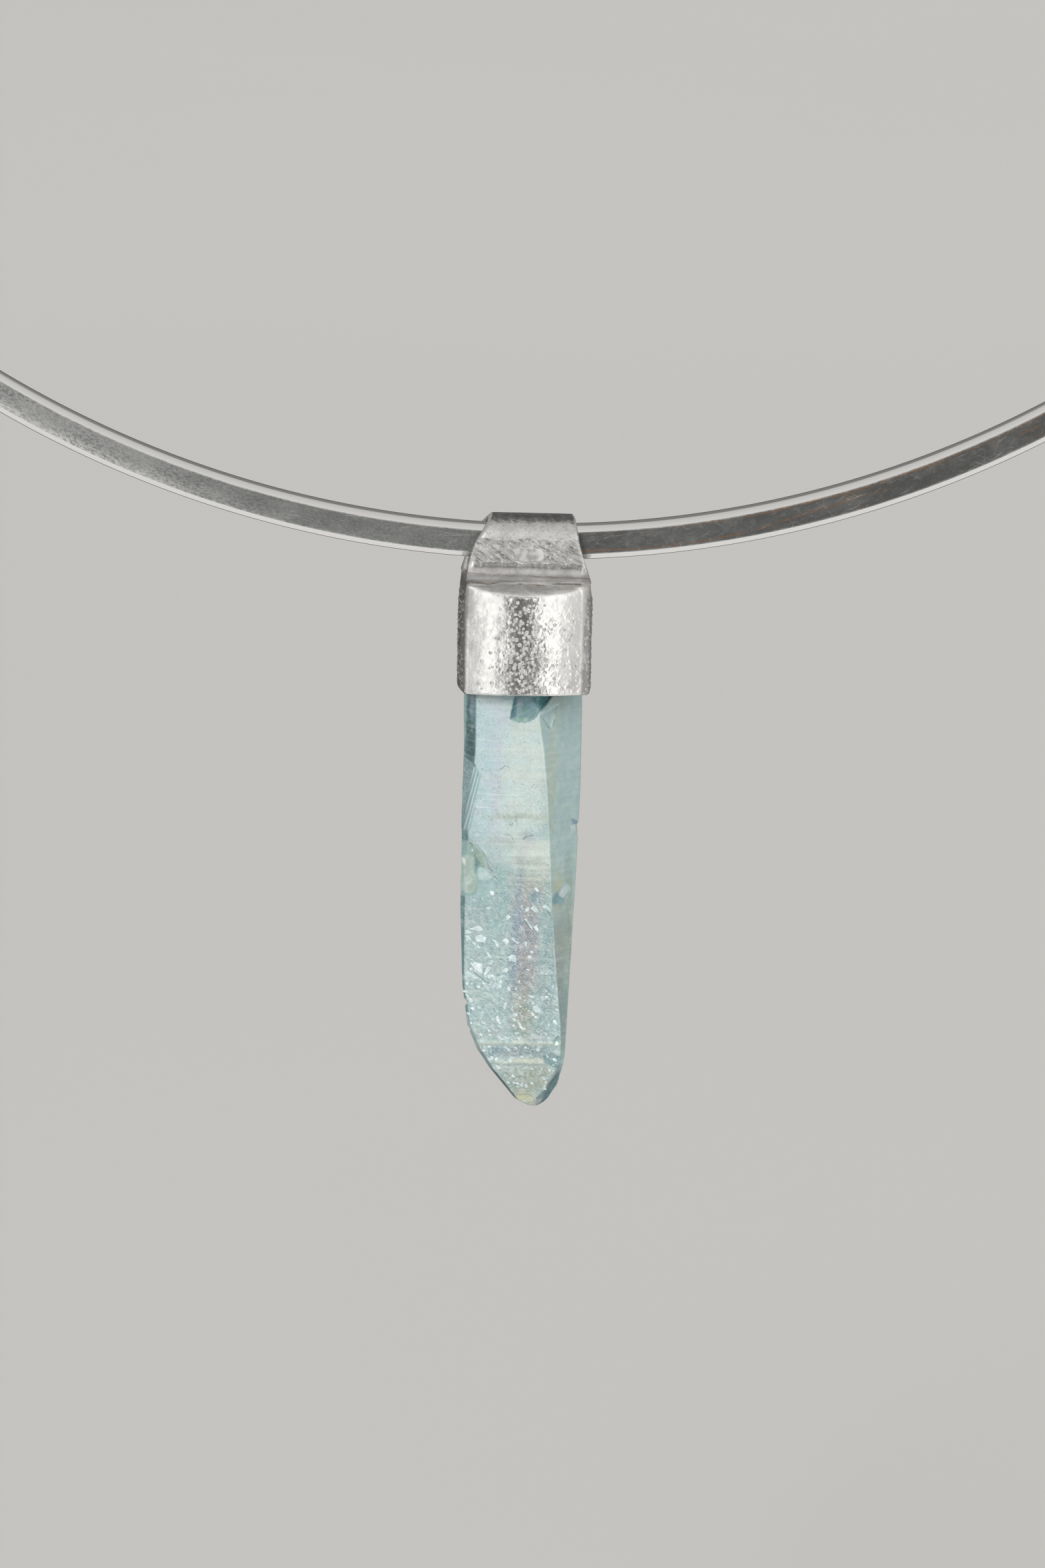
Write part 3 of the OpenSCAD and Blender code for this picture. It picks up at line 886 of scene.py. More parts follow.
def melted_drop_silver():
    material, kit = new_material("melted_drop_silver")
    place = kit.bench(HINGE)
    cloud = kit.grain(place, 2.5, 3.0, 0.6)
    # The cap's sides, where the drops are painted darker as shade
    beside = kit.rise(kit.maths("ABSOLUTE", kit.split(place)[0]), 3.5, 3.8)
    colour = kit.coated(
        (0.90, 0.895, 0.88),
        ((0.62, 0.615, 0.60), kit.rise(cloud, 0.35, 0.65)),
        # Painted shade on the drops at the cap's sides
        ((0.34, 0.335, 0.33), beside, 0.6),
    )
    rough = kit.pile(0.26, (cloud, 0.16))
    relief = kit.bump(kit.grain(place, 9.0, 2.0), 0.3, 0.02)
    kit.finish(Base_Color=colour, Metallic=1.0, Roughness=rough, Normal=relief)
    return material


def add_molten_beads(surface):
    """Round drops that the cast silver melted into, sunk in the skin."""
    picker = random.Random(BEAD_SEED)
    drop = one_drop()
    bm = bmesh.new()
    laid = []
    for side, reach, low, high, tries, small, large in BEAD_FIELDS:
        for _ in range(tries):
            spot = picker.uniform(-reach, reach), picker.uniform(low, high)
            radius = picker.uniform(small, large)
            found = spot_on(surface, *spot, side, BEAD_SQUARENESS)
            if found is None or picker.random() > bead_chance(found[0]):
                continue
            place, facing = found
            if any((place - other).length < BEAD_SPACING * (radius + near) for other, near in laid):
                continue
            laid.append((place, radius))
            stand = standing(place - facing * radius * BEAD_SUNK, facing) @ Matrix.Scale(radius, 4)
            drop.transform(stand)
            bm.from_mesh(drop)
            drop.transform(stand.inverted())
    bpy.data.meshes.remove(drop)
    drops = put_in_scene("molten_beads", from_bench(bm, HINGE), melted_drop_silver())
    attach(drops, "pendant")


def on_shoulder(co):
    return SHOULDER_LOW < co.z < SHOULDER_HIGH and abs(co.y) > 1.2


def add_bail_cap():
    """The bail's strap and cap in one mesh. Returns its surface too, to set the drops on."""
    mesh = fine_mesh(carried_copy("bail_cap"), CAP_VOXEL)
    even_out(mesh, CAP_ROUNDS)
    even_out(mesh, SHOULDER_ROUNDS, on_shoulder)
    places, normals = places_and_normals(mesh)
    outside = outer_share(places, normals)
    relief = cap_relief(places)
    lift = np.clip(relief, -CAP_SKIN, CAP_SKIN) - CAP_SKIN
    moved = places + normals * (lift * outside)[:, None]
    crowd = bead_density(places) * cap_share(places) * outside
    store(mesh, "crowd", crowd * smooth_step(normals[:, 2], 0.3, 0.1))
    below_strap = smooth_step(places[:, 2], CAP_TOP, CAP_TOP - 0.15) * outside
    store(mesh, "shoulder", smooth_step(normals[:, 2], 0.15, 0.6) * below_strap)
    # The strap's cut edges, made rougher and painted bright as a highlight
    above = smooth_step(places[:, 2], CAP_TOP - 0.1, CAP_TOP + 0.2) * outside
    store(mesh, "cut_edge_highlight", smooth_step(np.abs(normals[:, 0]), 0.3, 0.6) * above)
    cap = put_in_scene("reticulated_bail_cap", moved_to(mesh, moved), reticulated_silver())
    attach(cap, "pendant")
    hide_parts("bail_cap")
    return surface_of(mesh, moved)


# Crystal

CRYSTAL_HALF_W = 3.7
CRYSTAL_HALF_D = 2.4
LEFT_FACE_TURN = math.radians(60)
RIGHT_FACE_TURN = math.radians(49)
BACK_LEFT_INSET = 0.28
BACK_RIGHT_INSET = 0.2
CRYSTAL_STEP = 0.09
CRYSTAL_SKIN = 0.02
SKIN_STROKE_TURN = math.radians(35)
# How wide the steep edge of a sunk break is
BREAK_WALL = 0.05
# Faces across each side, from the front round by the right
SIDE_CUTS = (54, 28, 18, 34, 24, 14)
# Share of the length, then edges as shares of half the width: left, front left, front right and
# right. Then the front and back faces, as shares of half the depth.
CRYSTAL_ROWS = (
    (-0.200, -0.930, -0.740, 0.220, 0.930, 0.90, 0.90),
    (-0.012, -0.930, -0.740, 0.220, 0.930, 0.90, 0.90),
    (0.000, -1.000, -0.790, 0.240, 1.000, 0.98, 1.00),
    (0.060, -0.995, -0.785, 0.275, 1.005, 0.98, 1.00),
    (0.130, -0.980, -0.780, 0.360, 1.005, 0.97, 1.00),
    (0.235, -0.995, -0.830, 0.440, 1.005, 0.95, 1.00),
    (0.400, -0.985, -0.900, 0.520, 0.975, 0.90, 0.97),
    (0.510, -0.990, -0.915, 0.565, 0.945, 0.87, 0.95),
    (0.700, -0.930, -0.900, 0.690, 0.890, 0.81, 0.90),
    (0.800, -0.825, -0.770, 0.760, 0.860, 0.78, 0.85),
    (0.860, -0.650, -0.570, 0.770, 0.850, 0.74, 0.77),
    (0.905, -0.440, -0.360, 0.740, 0.810, 0.66, 0.64),
    (0.945, -0.210, -0.140, 0.670, 0.760, 0.54, 0.48),
    (0.983, 0.010, 0.060, 0.510, 0.580, 0.38, 0.26),
    (1.000, 0.220, 0.250, 0.370, 0.400, 0.25, 0.12),
)


def crystal_section(row):
    """The six corners of one section on the bench, anticlockwise as seen from above."""
    share, front, back = row[0], row[5], row[6]
    z = CAP_RIM - share * CRYSTAL_LEN
    left, front_left, front_right, right = (CRYSTAL_HALF_W * edge_highlight for edge_highlight in row[1:5])
    front_y = -front * CRYSTAL_HALF_D
    back_y = back * CRYSTAL_HALF_D
    width = right - left
    return (
        Vector((front_left, front_y, z)),
        Vector((front_right, front_y, z)),
        Vector((right, front_y + (right - front_right) * math.tan(RIGHT_FACE_TURN), z)),
        Vector((right - width * BACK_RIGHT_INSET, back_y, z)),
        Vector((left + width * BACK_LEFT_INSET, back_y, z)),
        Vector((left, front_y + (front_left - left) * math.tan(LEFT_FACE_TURN), z)),
    )


def crystal_faces():
    """The crystal's flat faces, from the root inside the cap to the tip, cut into small squares."""
    bm = bmesh.new()
    sides = len(SIDE_CUTS)
    corner = bm.verts.layers.float.new("corner")
    ring = bmesh.ops.create_circle(bm, cap_ends=True, segments=sides, radius=1)["verts"]
    for number, vert in enumerate(ring):
        vert[corner] = number
        vert.co = crystal_section(CRYSTAL_ROWS[0])[number]
    end = bm.faces[:]
    for row in CRYSTAL_ROWS[1:]:
        made = bmesh.ops.extrude_face_region(bm, geom=end)["geom"]
        if row is not CRYSTAL_ROWS[1]:
            bmesh.ops.delete(bm, geom=end, context="FACES_ONLY")
        end = [g for g in made if isinstance(g, bmesh.types.BMFace)]
        ring = [g for g in made if isinstance(g, bmesh.types.BMVert)]
        section = crystal_section(row)
        for vert in ring:
            vert.co = section[round(vert[corner])]
        uprights = [e for v in ring for e in v.link_edges if e.other_vert(v) not in ring]
        cuts = max(1, round(uprights[0].calc_length() / CRYSTAL_STEP)) - 1
        if cuts:
            bmesh.ops.subdivide_edges(bm, edges=uprights, cuts=cuts, use_grid_fill=True)
    for side, cuts in enumerate(SIDE_CUTS):
        ends = {side, (side + 1) % sides}
        rungs = [e for e in bm.edges if {round(v[corner]) for v in e.verts} == ends]
        bmesh.ops.subdivide_edges(bm, edges=rungs, cuts=cuts, use_grid_fill=True)
    bmesh.ops.recalc_face_normals(bm, faces=bm.faces)
    return as_mesh(bm)


def scoop(places, side, middle, radii, turn):
    """Carve an ellipsoid, turned in the front plane, inwards from one side of the crystal."""
    way = np.array(INWARDS[side], float)
    turned = np.array(Matrix.Rotation(math.radians(turn), 3, "Y"))
    inside = ((places - np.array(middle)) @ turned) / np.array(radii)
    step = (way @ turned) / np.array(radii)
    reach = 1 + 0.12 * noise_at(places, 1.6)
    square = step @ step
    half = inside @ step
    rest = np.einsum("ij,ij->i", inside, inside) - reach**2
    hit = rest < 0
    travel = (np.sqrt(half[hit] ** 2 - square * rest[hit]) - half[hit]) / square
    places[hit] += travel[:, None] * way
    return hit


def shave(places, point, facing, reach):
    """Cut flat what stands beyond a plane, within a reach of a point on it."""
    out = np.array(facing) / np.linalg.norm(facing)
    beyond = (places - np.array(point)) @ out
    hit = (beyond > 0) & (np.linalg.norm(places - np.array(point), axis=1) < reach)
    places[hit] -= beyond[hit][:, None] * out
    return hit


def depth_inside(x, z, corners):
    """How deep a point lies inside an outline drawn anticlockwise as seen from the front."""
    depth = np.full(len(x), np.inf)
    for (x0, z0), (x1, z1) in zip(corners, corners[1:] + corners[:1]):
        length = math.hypot(x1 - x0, z1 - z0)
        depth = np.minimum(depth, ((x1 - x0) * (z - z0) - (z1 - z0) * (x - x0)) / length)
    return depth


def sink(places, corners, deep, lean):
    """Sink a flat break in the front. From its first corner it gets deeper by lean, across and up."""
    x, z = places[:, 0], places[:, 2]
    share = np.clip(depth_inside(x, z, corners) / BREAK_WALL, 0, 1)
    depth = deep + lean[0] * (x - corners[0][0]) + lean[1] * (z - corners[0][1])
    front = places[:, 1] < 0
    places[:, 1] += share * np.maximum(depth, 0) * front
    return (share > 0) & front


# Shells broken out: the side they are carved from, middle, radii and turn in degrees in the front plane
SHELLS = (
    ("right", (3.98, -0.6, -18.05), (0.46, 2.2, 0.42), 12),
    ("right", (3.80, -0.9, -18.38), (0.30, 1.6, 0.20), -20),
    ("front", (-3.55, -2.95, -20.75), (1.15, 0.95, 1.45), 6),
    ("front", (-2.70, -2.72, -19.55), (0.75, 0.54, 0.85), -30),
    ("front", (-2.25, -2.62, -20.70), (0.62, 0.50, 0.62), 0),
    ("left", (-4.05, -2.10, -19.0), (0.55, 0.80, 0.50), 0),
    ("left", (-3.44, -0.8, -29.10), (0.42, 2.2, 0.26), 0),
    ("left", (-3.16, -0.8, -30.85), (0.34, 1.8, 0.24), 20),
    ("front", (2.92, -1.72, -22.00), (0.46, 0.46, 0.48), 30),
    ("front", (2.60, -2.22, -31.50), (0.34, 0.48, 0.48), 15),
    ("right", (3.42, -0.9, -33.60), (0.42, 1.8, 0.30), 0),
    ("front", (2.50, -2.42, -32.85), (0.75, 0.75, 0.42), 12),
    ("back", (1.60, 2.75, -18.60), (0.80, 0.62, 0.45), -25),
    ("back", (-1.90, 2.62, -26.20), (0.60, 0.60, 0.90), 10),
    ("back", (2.35, 2.30, -30.20), (0.55, 0.60, 0.60), 0),
    ("left", (-4.02, 0.6, -24.60), (0.55, 0.9, 0.40), 25),
    ("right", (3.98, 0.9, -12.90), (0.36, 0.8, 0.30), 0),
)
# Planes at the tip: a point, the way they face and their reach
TIP_PLANES = (
    ((0.75, -1.15, -35.55), (-0.05, -1.0, -0.55), 1.5),
    ((2.25, -0.9, -34.75), (0.62, -0.62, -0.45), 1.9),
)
# The slanting break on the upper left: the ends of its edge, and the way across it, across and up
SLANT_FOOT = (-3.46, -18.24)
SLANT_HEAD = (-2.54, -14.46)
SLANT_ACROSS = (0.972, -0.236)
# Breaks sunk in the front face: outline, depth at its first corner, and lean across and up
SUNK_BREAKS = (
    (((-0.79, -10.82), (0.25, -11.05), (0.70, -10.83), (2.15, -9.1), (-0.45, -9.1)), 0.14, (0.02, 0.16)),
    (((1.10, -10.55), (1.72, -11.46), (2.25, -10.10)), 0.10, (0.12, 0.05)),
    ((SLANT_FOOT, SLANT_HEAD, (-2.88, -13.75), (-3.9, -13.3), (-3.9, -18.6)), 0.02, (-0.45, 0.11)),
)
# Growth ridges on the front: height, ends, half width and rise
RIDGES = (
    (-12.15, -2.9, -0.5, 0.035, 0.020),
    (-15.62, -2.9, 0.4, 0.030, 0.020),
    (-16.45, -2.9, -0.9, 0.030, 0.016),
    (-19.50, -0.6, 2.0, 0.13, 0.055),
    (-20.30, -0.6, 2.0, 0.15, 0.065),
    (-21.10, -0.3, 2.1, 0.11, 0.050),
    (-31.62, -2.5, 2.8, 0.13, 0.085),
    (-32.95, -1.3, 2.0, 0.15, 0.080),
)


def grow_ridges(places, front):
    x, z = places[:, 0], places[:, 2]
    height = np.zeros(len(places))
    for level, left, right, half, rise in RIDGES:
        wander = z - level - 0.07 * noise_at(places, (1.1, 0, 0), (level, 0, 0))
        ends = smooth_step(x, left - 0.2, left + 0.2) * smooth_step(x, right + 0.2, right - 0.2)
        height += rise * np.exp(-((wander / half) ** 2)) * ends
    return height * front


def diagonal(places, across, along):
    """Places stretched so that noise on them runs in short diagonal strokes."""
    cosine, sine = math.cos(SKIN_STROKE_TURN), math.sin(SKIN_STROKE_TURN)
    x, z = places[:, 0], places[:, 2]
    down = (x * cosine - z * sine) * along
    over = (x * sine + z * cosine) * across
    return np.stack([down, places[:, 1] * 0.5, over], axis=1)


def rough_skin(places, front):
    """Shallow etching: strokes and pits that get stronger towards the tip."""
    low = smooth_step(places[:, 2], -19.5, -23.5)
    strokes = noise_at(diagonal(places, 3.2, 1.5), 1.0)
    lumps = noise_at(places, 0.8, (2, 9, 4))
    fine = noise_at(diagonal(places, 6.5, 3.5), 1.0, (9, 1, 1))
    amount = 0.25 + 0.75 * low
    return 0.016 * lumps + front * amount * (0.020 * strokes + 0.012 * fine)


def left_steps(places):
    """The low bank of ridges along the slanting break."""
    x, z = places[:, 0], places[:, 2]
    aside = (x - SLANT_HEAD[0]) * SLANT_ACROSS[0] + (z - SLANT_HEAD[1]) * SLANT_ACROSS[1]
    strip = smooth_step(aside, -0.65, -0.5) * smooth_step(aside, 0.05, -0.02)
    tall = smooth_step(z, -18.3, -17.8) * smooth_step(z, -13.9, -14.4)
    return 0.03 * strip * tall


def srgb(colour):
    """A colour as seen on screen, from 0 to 255, as the light that it reflects."""
    return np.array([((c / 255 + 0.055) / 1.055) ** 2.4 for c in colour] + [1.0])


# Tints on the front face: colour, middle across and up, half width, half height, turn in degrees,
# softness of the border as a share of its size, and strength
FRONT_BASE = (160, 184, 184)
FRONT_TINTS = (
    # These two pale tints on the upper front are partly the coating's own colour and partly painted sheen.
    ((184, 206, 213), -1.9, -13.5, 1.3, 5.6, 0, 0.35, 1.0),
    ((202, 215, 212), 0.3, -14.0, 1.5, 5.8, -6, 0.45, 0.95),
    ((198, 199, 214), -1.45, -13.0, 0.25, 4.5, -2, 0.9, 0.5),
    ((176, 186, 172), -0.1, -17.05, 1.7, 0.18, 2, 0.9, 0.8),
    ((196, 206, 198), -0.6, -14.5, 1.5, 0.12, 2, 0.9, 0.6),
    ((170, 182, 180), -0.4, -18.7, 1.6, 0.30, -4, 0.8, 0.7),
    ((206, 217, 209), 1.0, -19.5, 1.4, 1.1, -5, 0.5, 0.9),
    ((172, 180, 172), 0.6, -19.95, 1.4, 0.12, -3, 0.9, 0.9),
    ((172, 178, 168), 0.7, -20.75, 1.3, 0.14, -3, 0.9, 0.9),
    ((146, 176, 178), -1.6, -22.6, 1.6, 2.2, 0, 0.6, 0.9),
    ((174, 172, 162), 0.5, -22.2, 0.95, 1.5, -8, 0.6, 0.95),
    ((146, 140, 148), 0.55, -25.6, 0.75, 3.2, -3, 0.5, 1.0),
    ((128, 142, 162), -0.15, -24.8, 0.28, 4.2, -3, 0.8, 0.85),
    ((138, 138, 124), 0.5, -29.8, 0.6, 1.7, 0, 0.8, 0.8),
    ((130, 158, 162), 1.9, -26.5, 0.5, 5.5, -4, 0.6, 0.9),
    ((128, 156, 168), 1.05, -22.2, 0.38, 0.42, 0, 0.5, 0.9),
    ((126, 146, 156), 0.3, -32.25, 2.0, 0.42, 2, 0.5, 0.9),
    # Painted highlights: pale lines along the tops of two low growth ridges.
    ((212, 218, 204), 0.3, -31.62, 2.4, 0.12, 2, 0.8, 0.8),
    ((206, 208, 184), 0.5, -32.95, 1.7, 0.14, 1, 0.8, 0.8),
    ((160, 168, 150), 0.9, -34.2, 1.5, 0.9, 10, 0.6, 0.85),
    ((186, 188, 156), 0.75, -35.5, 0.75, 0.4, 0, 0.5, 0.95),
    ((196, 160, 186), 1.36, -35.55, 0.14, 0.2, 0, 0.6, 0.9),
    ((158, 172, 184), 0.55, -18.35, 0.4, 0.35, 20, 0.8, 0.6),
)
RIGHT_BASE = (181, 204, 203)
RIGHT_TINTS = (
    ((187, 201, 186), 1.75, -16.0, 0.35, 7.5, -4, 0.9, 0.8),
    ((182, 205, 203), 2.2, -11.9, 0.3, 1.0, 10, 0.8, 0.8),
    ((186, 192, 162), 2.45, -21.9, 0.32, 1.2, 0, 0.8, 0.8),
    ((156, 160, 152), 2.6, -26.5, 0.5, 3.2, -4, 0.7, 0.8),
    ((150, 164, 146), 3.3, -25.0, 0.2, 5.0, 3, 0.8, 0.6),
    ((130, 150, 142), 2.9, -30.0, 0.5, 2.2, 0, 0.7, 0.7),
    ((84, 120, 124), 2.3, -34.6, 0.9, 1.2, 0, 0.6, 0.95),
    ((126, 160, 170), 2.45, -22.35, 0.35, 0.38, 0, 0.4, 0.95),
)
# The left face's base is partly its own teal and partly painted shade.
LEFT_TONE_AND_SHADE = (92, 124, 124)
LEFT_TINTS = (
    # Painted shade: a dark strip for a shaded facet of clear quartz.
    ((56, 82, 82), -3.2, -11.4, 0.24, 2.4, 0, 0.25, 1.0),
    # Painted highlight: a thin pale streak along the left edge.
    ((146, 176, 168), -3.62, -11.3, 0.10, 2.6, 0, 0.5, 0.9),
    ((150, 176, 176), -3.2, -17.0, 0.3, 2.0, 14, 0.5, 0.6),
    ((160, 184, 182), -3.0, -32.0, 1.2, 2.2, 20, 0.5, 0.8),
    ((112, 140, 146), -3.12, -10.2, 0.16, 0.9, 0, 0.6, 0.9),
)
BACK_BASE = (158, 184, 184)
BACK_TINTS = (
    ((190, 208, 208), -0.8, -14.0, 1.2, 5.0, 4, 0.7, 0.8),
    ((176, 184, 196), 0.6, -18.0, 0.4, 8.0, -3, 0.9, 0.6),
    ((168, 170, 160), -0.4, -26.0, 0.8, 4.0, 2, 0.7, 0.7),
)
BROKEN = (160, 182, 178)
# A painted highlight along the front right edge
EDGE_HIGHLIGHT = (220, 226, 210)
# Where the slanting break is ridged, and where it is hatched
RIDGED = ((-3.05, -13.88), (-3.55, -18.07), (-3.09, -17.84), (-2.50, -14.38))
HATCHED = ((-3.9, -13.2), (-3.9, -17.6), (-3.64, -17.39), (-3.34, -16.01), (-2.93, -13.79), (-3.57, -13.2))
# Breaks with a colour of their own, with a few painted highlights and a painted shadow among them: the
# colour, then the outline as seen from the front
PATCHES = (
    # The dark wedge under the cap
    ((104, 144, 148), (
        (-0.51, -9.1), (-0.77, -10.82), (-0.17, -11.06),
        (0.25, -11.05), (0.7, -10.83), (2.2, -9.1),
    )),
    ((78, 124, 140), ((-0.51, -9.1), (-0.77, -10.82), (-0.34, -10.62), (-0.36, -9.1))),
    ((150, 172, 186), ((-0.33, -9.1), (-0.35, -10.09), (0.06, -10.0), (0.13, -9.1))),
    ((134, 168, 184), ((0.13, -9.4), (0.1, -9.92), (0.76, -10.24), (0.97, -10.15), (0.51, -9.6))),
    ((80, 140, 148), ((0.5, -9.1), (0.63, -9.73), (0.97, -10.11), (1.38, -9.89), (1.9, -9.1))),
    ((72, 130, 134), ((1.05, -10.1), (1.22, -10.31), (2.2, -9.1), (1.85, -9.1))),
    ((130, 170, 158), ((-0.67, -10.84), (-0.38, -10.96), (0.2, -10.92), (0.24, -10.67))),
    # The pale V beside it, with a painted highlight along its upper left side
    ((184, 206, 210), ((1.42, -10.6), (1.82, -11.36), (2.12, -10.36))),
    # Painted highlight along the V's upper left side
    ((208, 230, 232), ((1.11, -10.5), (1.25, -10.64), (2.26, -10.24), (2.15, -10.0))),
    ((190, 218, 222), ((1.22, -10.71), (1.65, -11.48), (1.8, -11.43), (1.42, -10.6))),
    # The left face where it is hatched
    ((104, 136, 136), ((-3.46, -18.24), (-3.0, -15.6), (-2.88, -13.75), (-3.9, -13.3), (-3.9, -18.9))),
    # The broken lobes low on the left, with a painted shadow where they overlap and a painted highlight on
    # their left rim
    ((148, 174, 170), (
        (-4.2, -18.7), (-4.2, -22.2), (-2.6, -22.2),
        (-2.1, -20.3), (-2.2, -19.45), (-3.1, -18.7),
    )),
    ((164, 190, 191), ((-2.6, -21.2), (-2.65, -22.3), (-2.09, -22.25), (-1.45, -21.8), (-1.7, -21.1))),
    ((170, 188, 180), (
        (-3.35, -19.48), (-3.9, -20.3), (-3.9, -21.4), (-3.55, -21.9), (-3.01, -22.08),
        (-2.73, -21.82), (-2.62, -20.79), (-2.76, -20.1), (-2.81, -19.59),
    )),
    ((148, 174, 160), (
        (-2.99, -18.82), (-2.68, -19.67), (-2.36, -20.22),
        (-2.06, -19.83), (-2.23, -19.45),
    )),
    ((190, 186, 180), ((-2.18, -19.88), (-2.13, -20.26), (-1.94, -20.34), (-2.1, -19.79))),
    # Painted shadow where the lobes overlap
    ((104, 134, 136), ((-2.81, -19.51), (-2.76, -20.1), (-2.75, -20.79), (-2.46, -20.15))),
    ((190, 212, 210), ((-2.55, -20.31), (-2.57, -21.13), (-2.03, -21.12), (-1.7, -20.89), (-2.22, -20.31))),
    # Painted highlight on the lobes' left rim
    ((232, 240, 238), ((-3.66, -19.75), (-3.66, -20.1), (-3.42, -20.2), (-3.38, -19.8))),
    # The lower right facet, the cream one beside it, and a dent above
    ((80, 115, 120), (
        (1.35, -36.3), (2.04, -35.95), (2.62, -35.03), (2.95, -34.1),
        (2.9, -33.6), (2.58, -33.95), (1.72, -34.95), (1.40, -35.45),
    )),
    ((206, 208, 176), (
        (0.0, -35.3), (-0.05, -35.5), (0.66, -35.72),
        (1.2, -35.6), (1.25, -35.3), (0.77, -35.15),
    )),
    ((120, 152, 156), ((1.7, -32.5), (1.9, -33.0), (2.8, -33.4), (2.85, -32.5), (2.3, -32.2))),
    # The chip on the right face, a dent beside it, and the notch above
    ((134, 172, 174), ((2.25, -22.10), (2.31, -22.66), (2.66, -22.62), (2.95, -22.40), (2.48, -22.0))),
    ((198, 212, 216), (
        (2.44, -21.92), (2.50, -22.15), (2.78, -22.36), (3.05, -22.31),
        (3.22, -21.94), (3.11, -21.56), (2.74, -21.57),
    )),
    ((138, 164, 170), ((0.74, -22.43), (1.0, -22.68), (1.23, -22.16), (1.02, -21.82), (0.77, -22.0))),
    ((204, 218, 216), ((3.06, -17.78), (3.22, -18.42), (3.6, -18.2), (3.40, -17.85))),
    ((112, 152, 164), ((3.24, -17.50), (3.28, -17.88), (3.62, -17.84), (3.50, -17.50))),
)


def laid_on(base, tints, places, warp):
    """A face's base colour with its tints laid on in turn."""
    colours = np.tile(srgb(base), (len(places), 1))
    x = places[:, 0] + 0.16 * warp[0]
    z = places[:, 2] + 0.30 * warp[1]
    for colour, at_x, at_z, half_w, half_h, turn, soft, strength in tints:
        angle = math.radians(turn)
        across = ((x - at_x) * math.cos(angle) + (z - at_z) * math.sin(angle)) / half_w
        up = ((z - at_z) * math.cos(angle) - (x - at_x) * math.sin(angle)) / half_h
        reach = (np.abs(across) ** 3 + np.abs(up) ** 3) ** (1 / 3)
        share = strength * smooth_step(reach, 1 + soft, 1 - soft)
        colours += (srgb(colour) - colours) * share[:, None]
    return colours


def crystal_colours(places, normals, broken):
    """The crystal's tints, with light and shade painted into some of them. The breaks that have a colour of
    their own are marked as broken too.
    """
    warp = noise_at(places, 1.3), noise_at(places, 0.9, (4, 4, 4))
    colours = laid_on(FRONT_BASE, FRONT_TINTS, places, warp)
    # Each side is tinted by the way it faces; the left side's tints are partly painted shade and light.
    sides = (
        (RIGHT_BASE, RIGHT_TINTS, smooth_step(normals[:, 0], 0.35, 0.6)),
        (LEFT_TONE_AND_SHADE, LEFT_TINTS, smooth_step(normals[:, 0], -0.35, -0.6)),
        (BACK_BASE, BACK_TINTS, smooth_step(normals[:, 1], 0.3, 0.6)),
    )
    for base, tints, share in sides:
        side = laid_on(base, tints, places, warp)
        colours += (side - colours) * share[:, None]
    colours += (srgb(BROKEN) - colours) * (0.4 * broken)[:, None]
    ragged = noise_at(places, 4.5, (2, 6, 1)), noise_at(places, 4.5, (7, 1, 5))
    x = places[:, 0] + 0.05 * warp[0] + 0.06 * ragged[0]
    z = places[:, 2] + 0.05 * warp[1] + 0.06 * ragged[1]
    seen = smooth_step(normals[:, 1], -0.05, -0.25)
    for colour, corners in PATCHES:
        share = smooth_step(depth_inside(x, z, corners), -0.06, 0.07) * seen
        colours += (srgb(colour) - colours) * (0.9 * share)[:, None]
        np.maximum(broken, 0.85 * share, out=broken)
    # Painted highlight: a pale line along the front right edge, below the dark wedge
    edge_highlight = smooth_step(normals[:, 1], -0.96, -0.88) * smooth_step(normals[:, 1], -0.75, -0.86)
    edge_highlight *= smooth_step(places[:, 0], 0.2, 0.6) * smooth_step(places[:, 2], -11.0, -11.6)
    colours += (srgb(EDGE_HIGHLIGHT) - colours) * (0.6 * edge_highlight)[:, None]
    return colours


MARK_WANDER = 0.22
RIDGE_SPACING = 0.2
STROKE_LEAN = -38
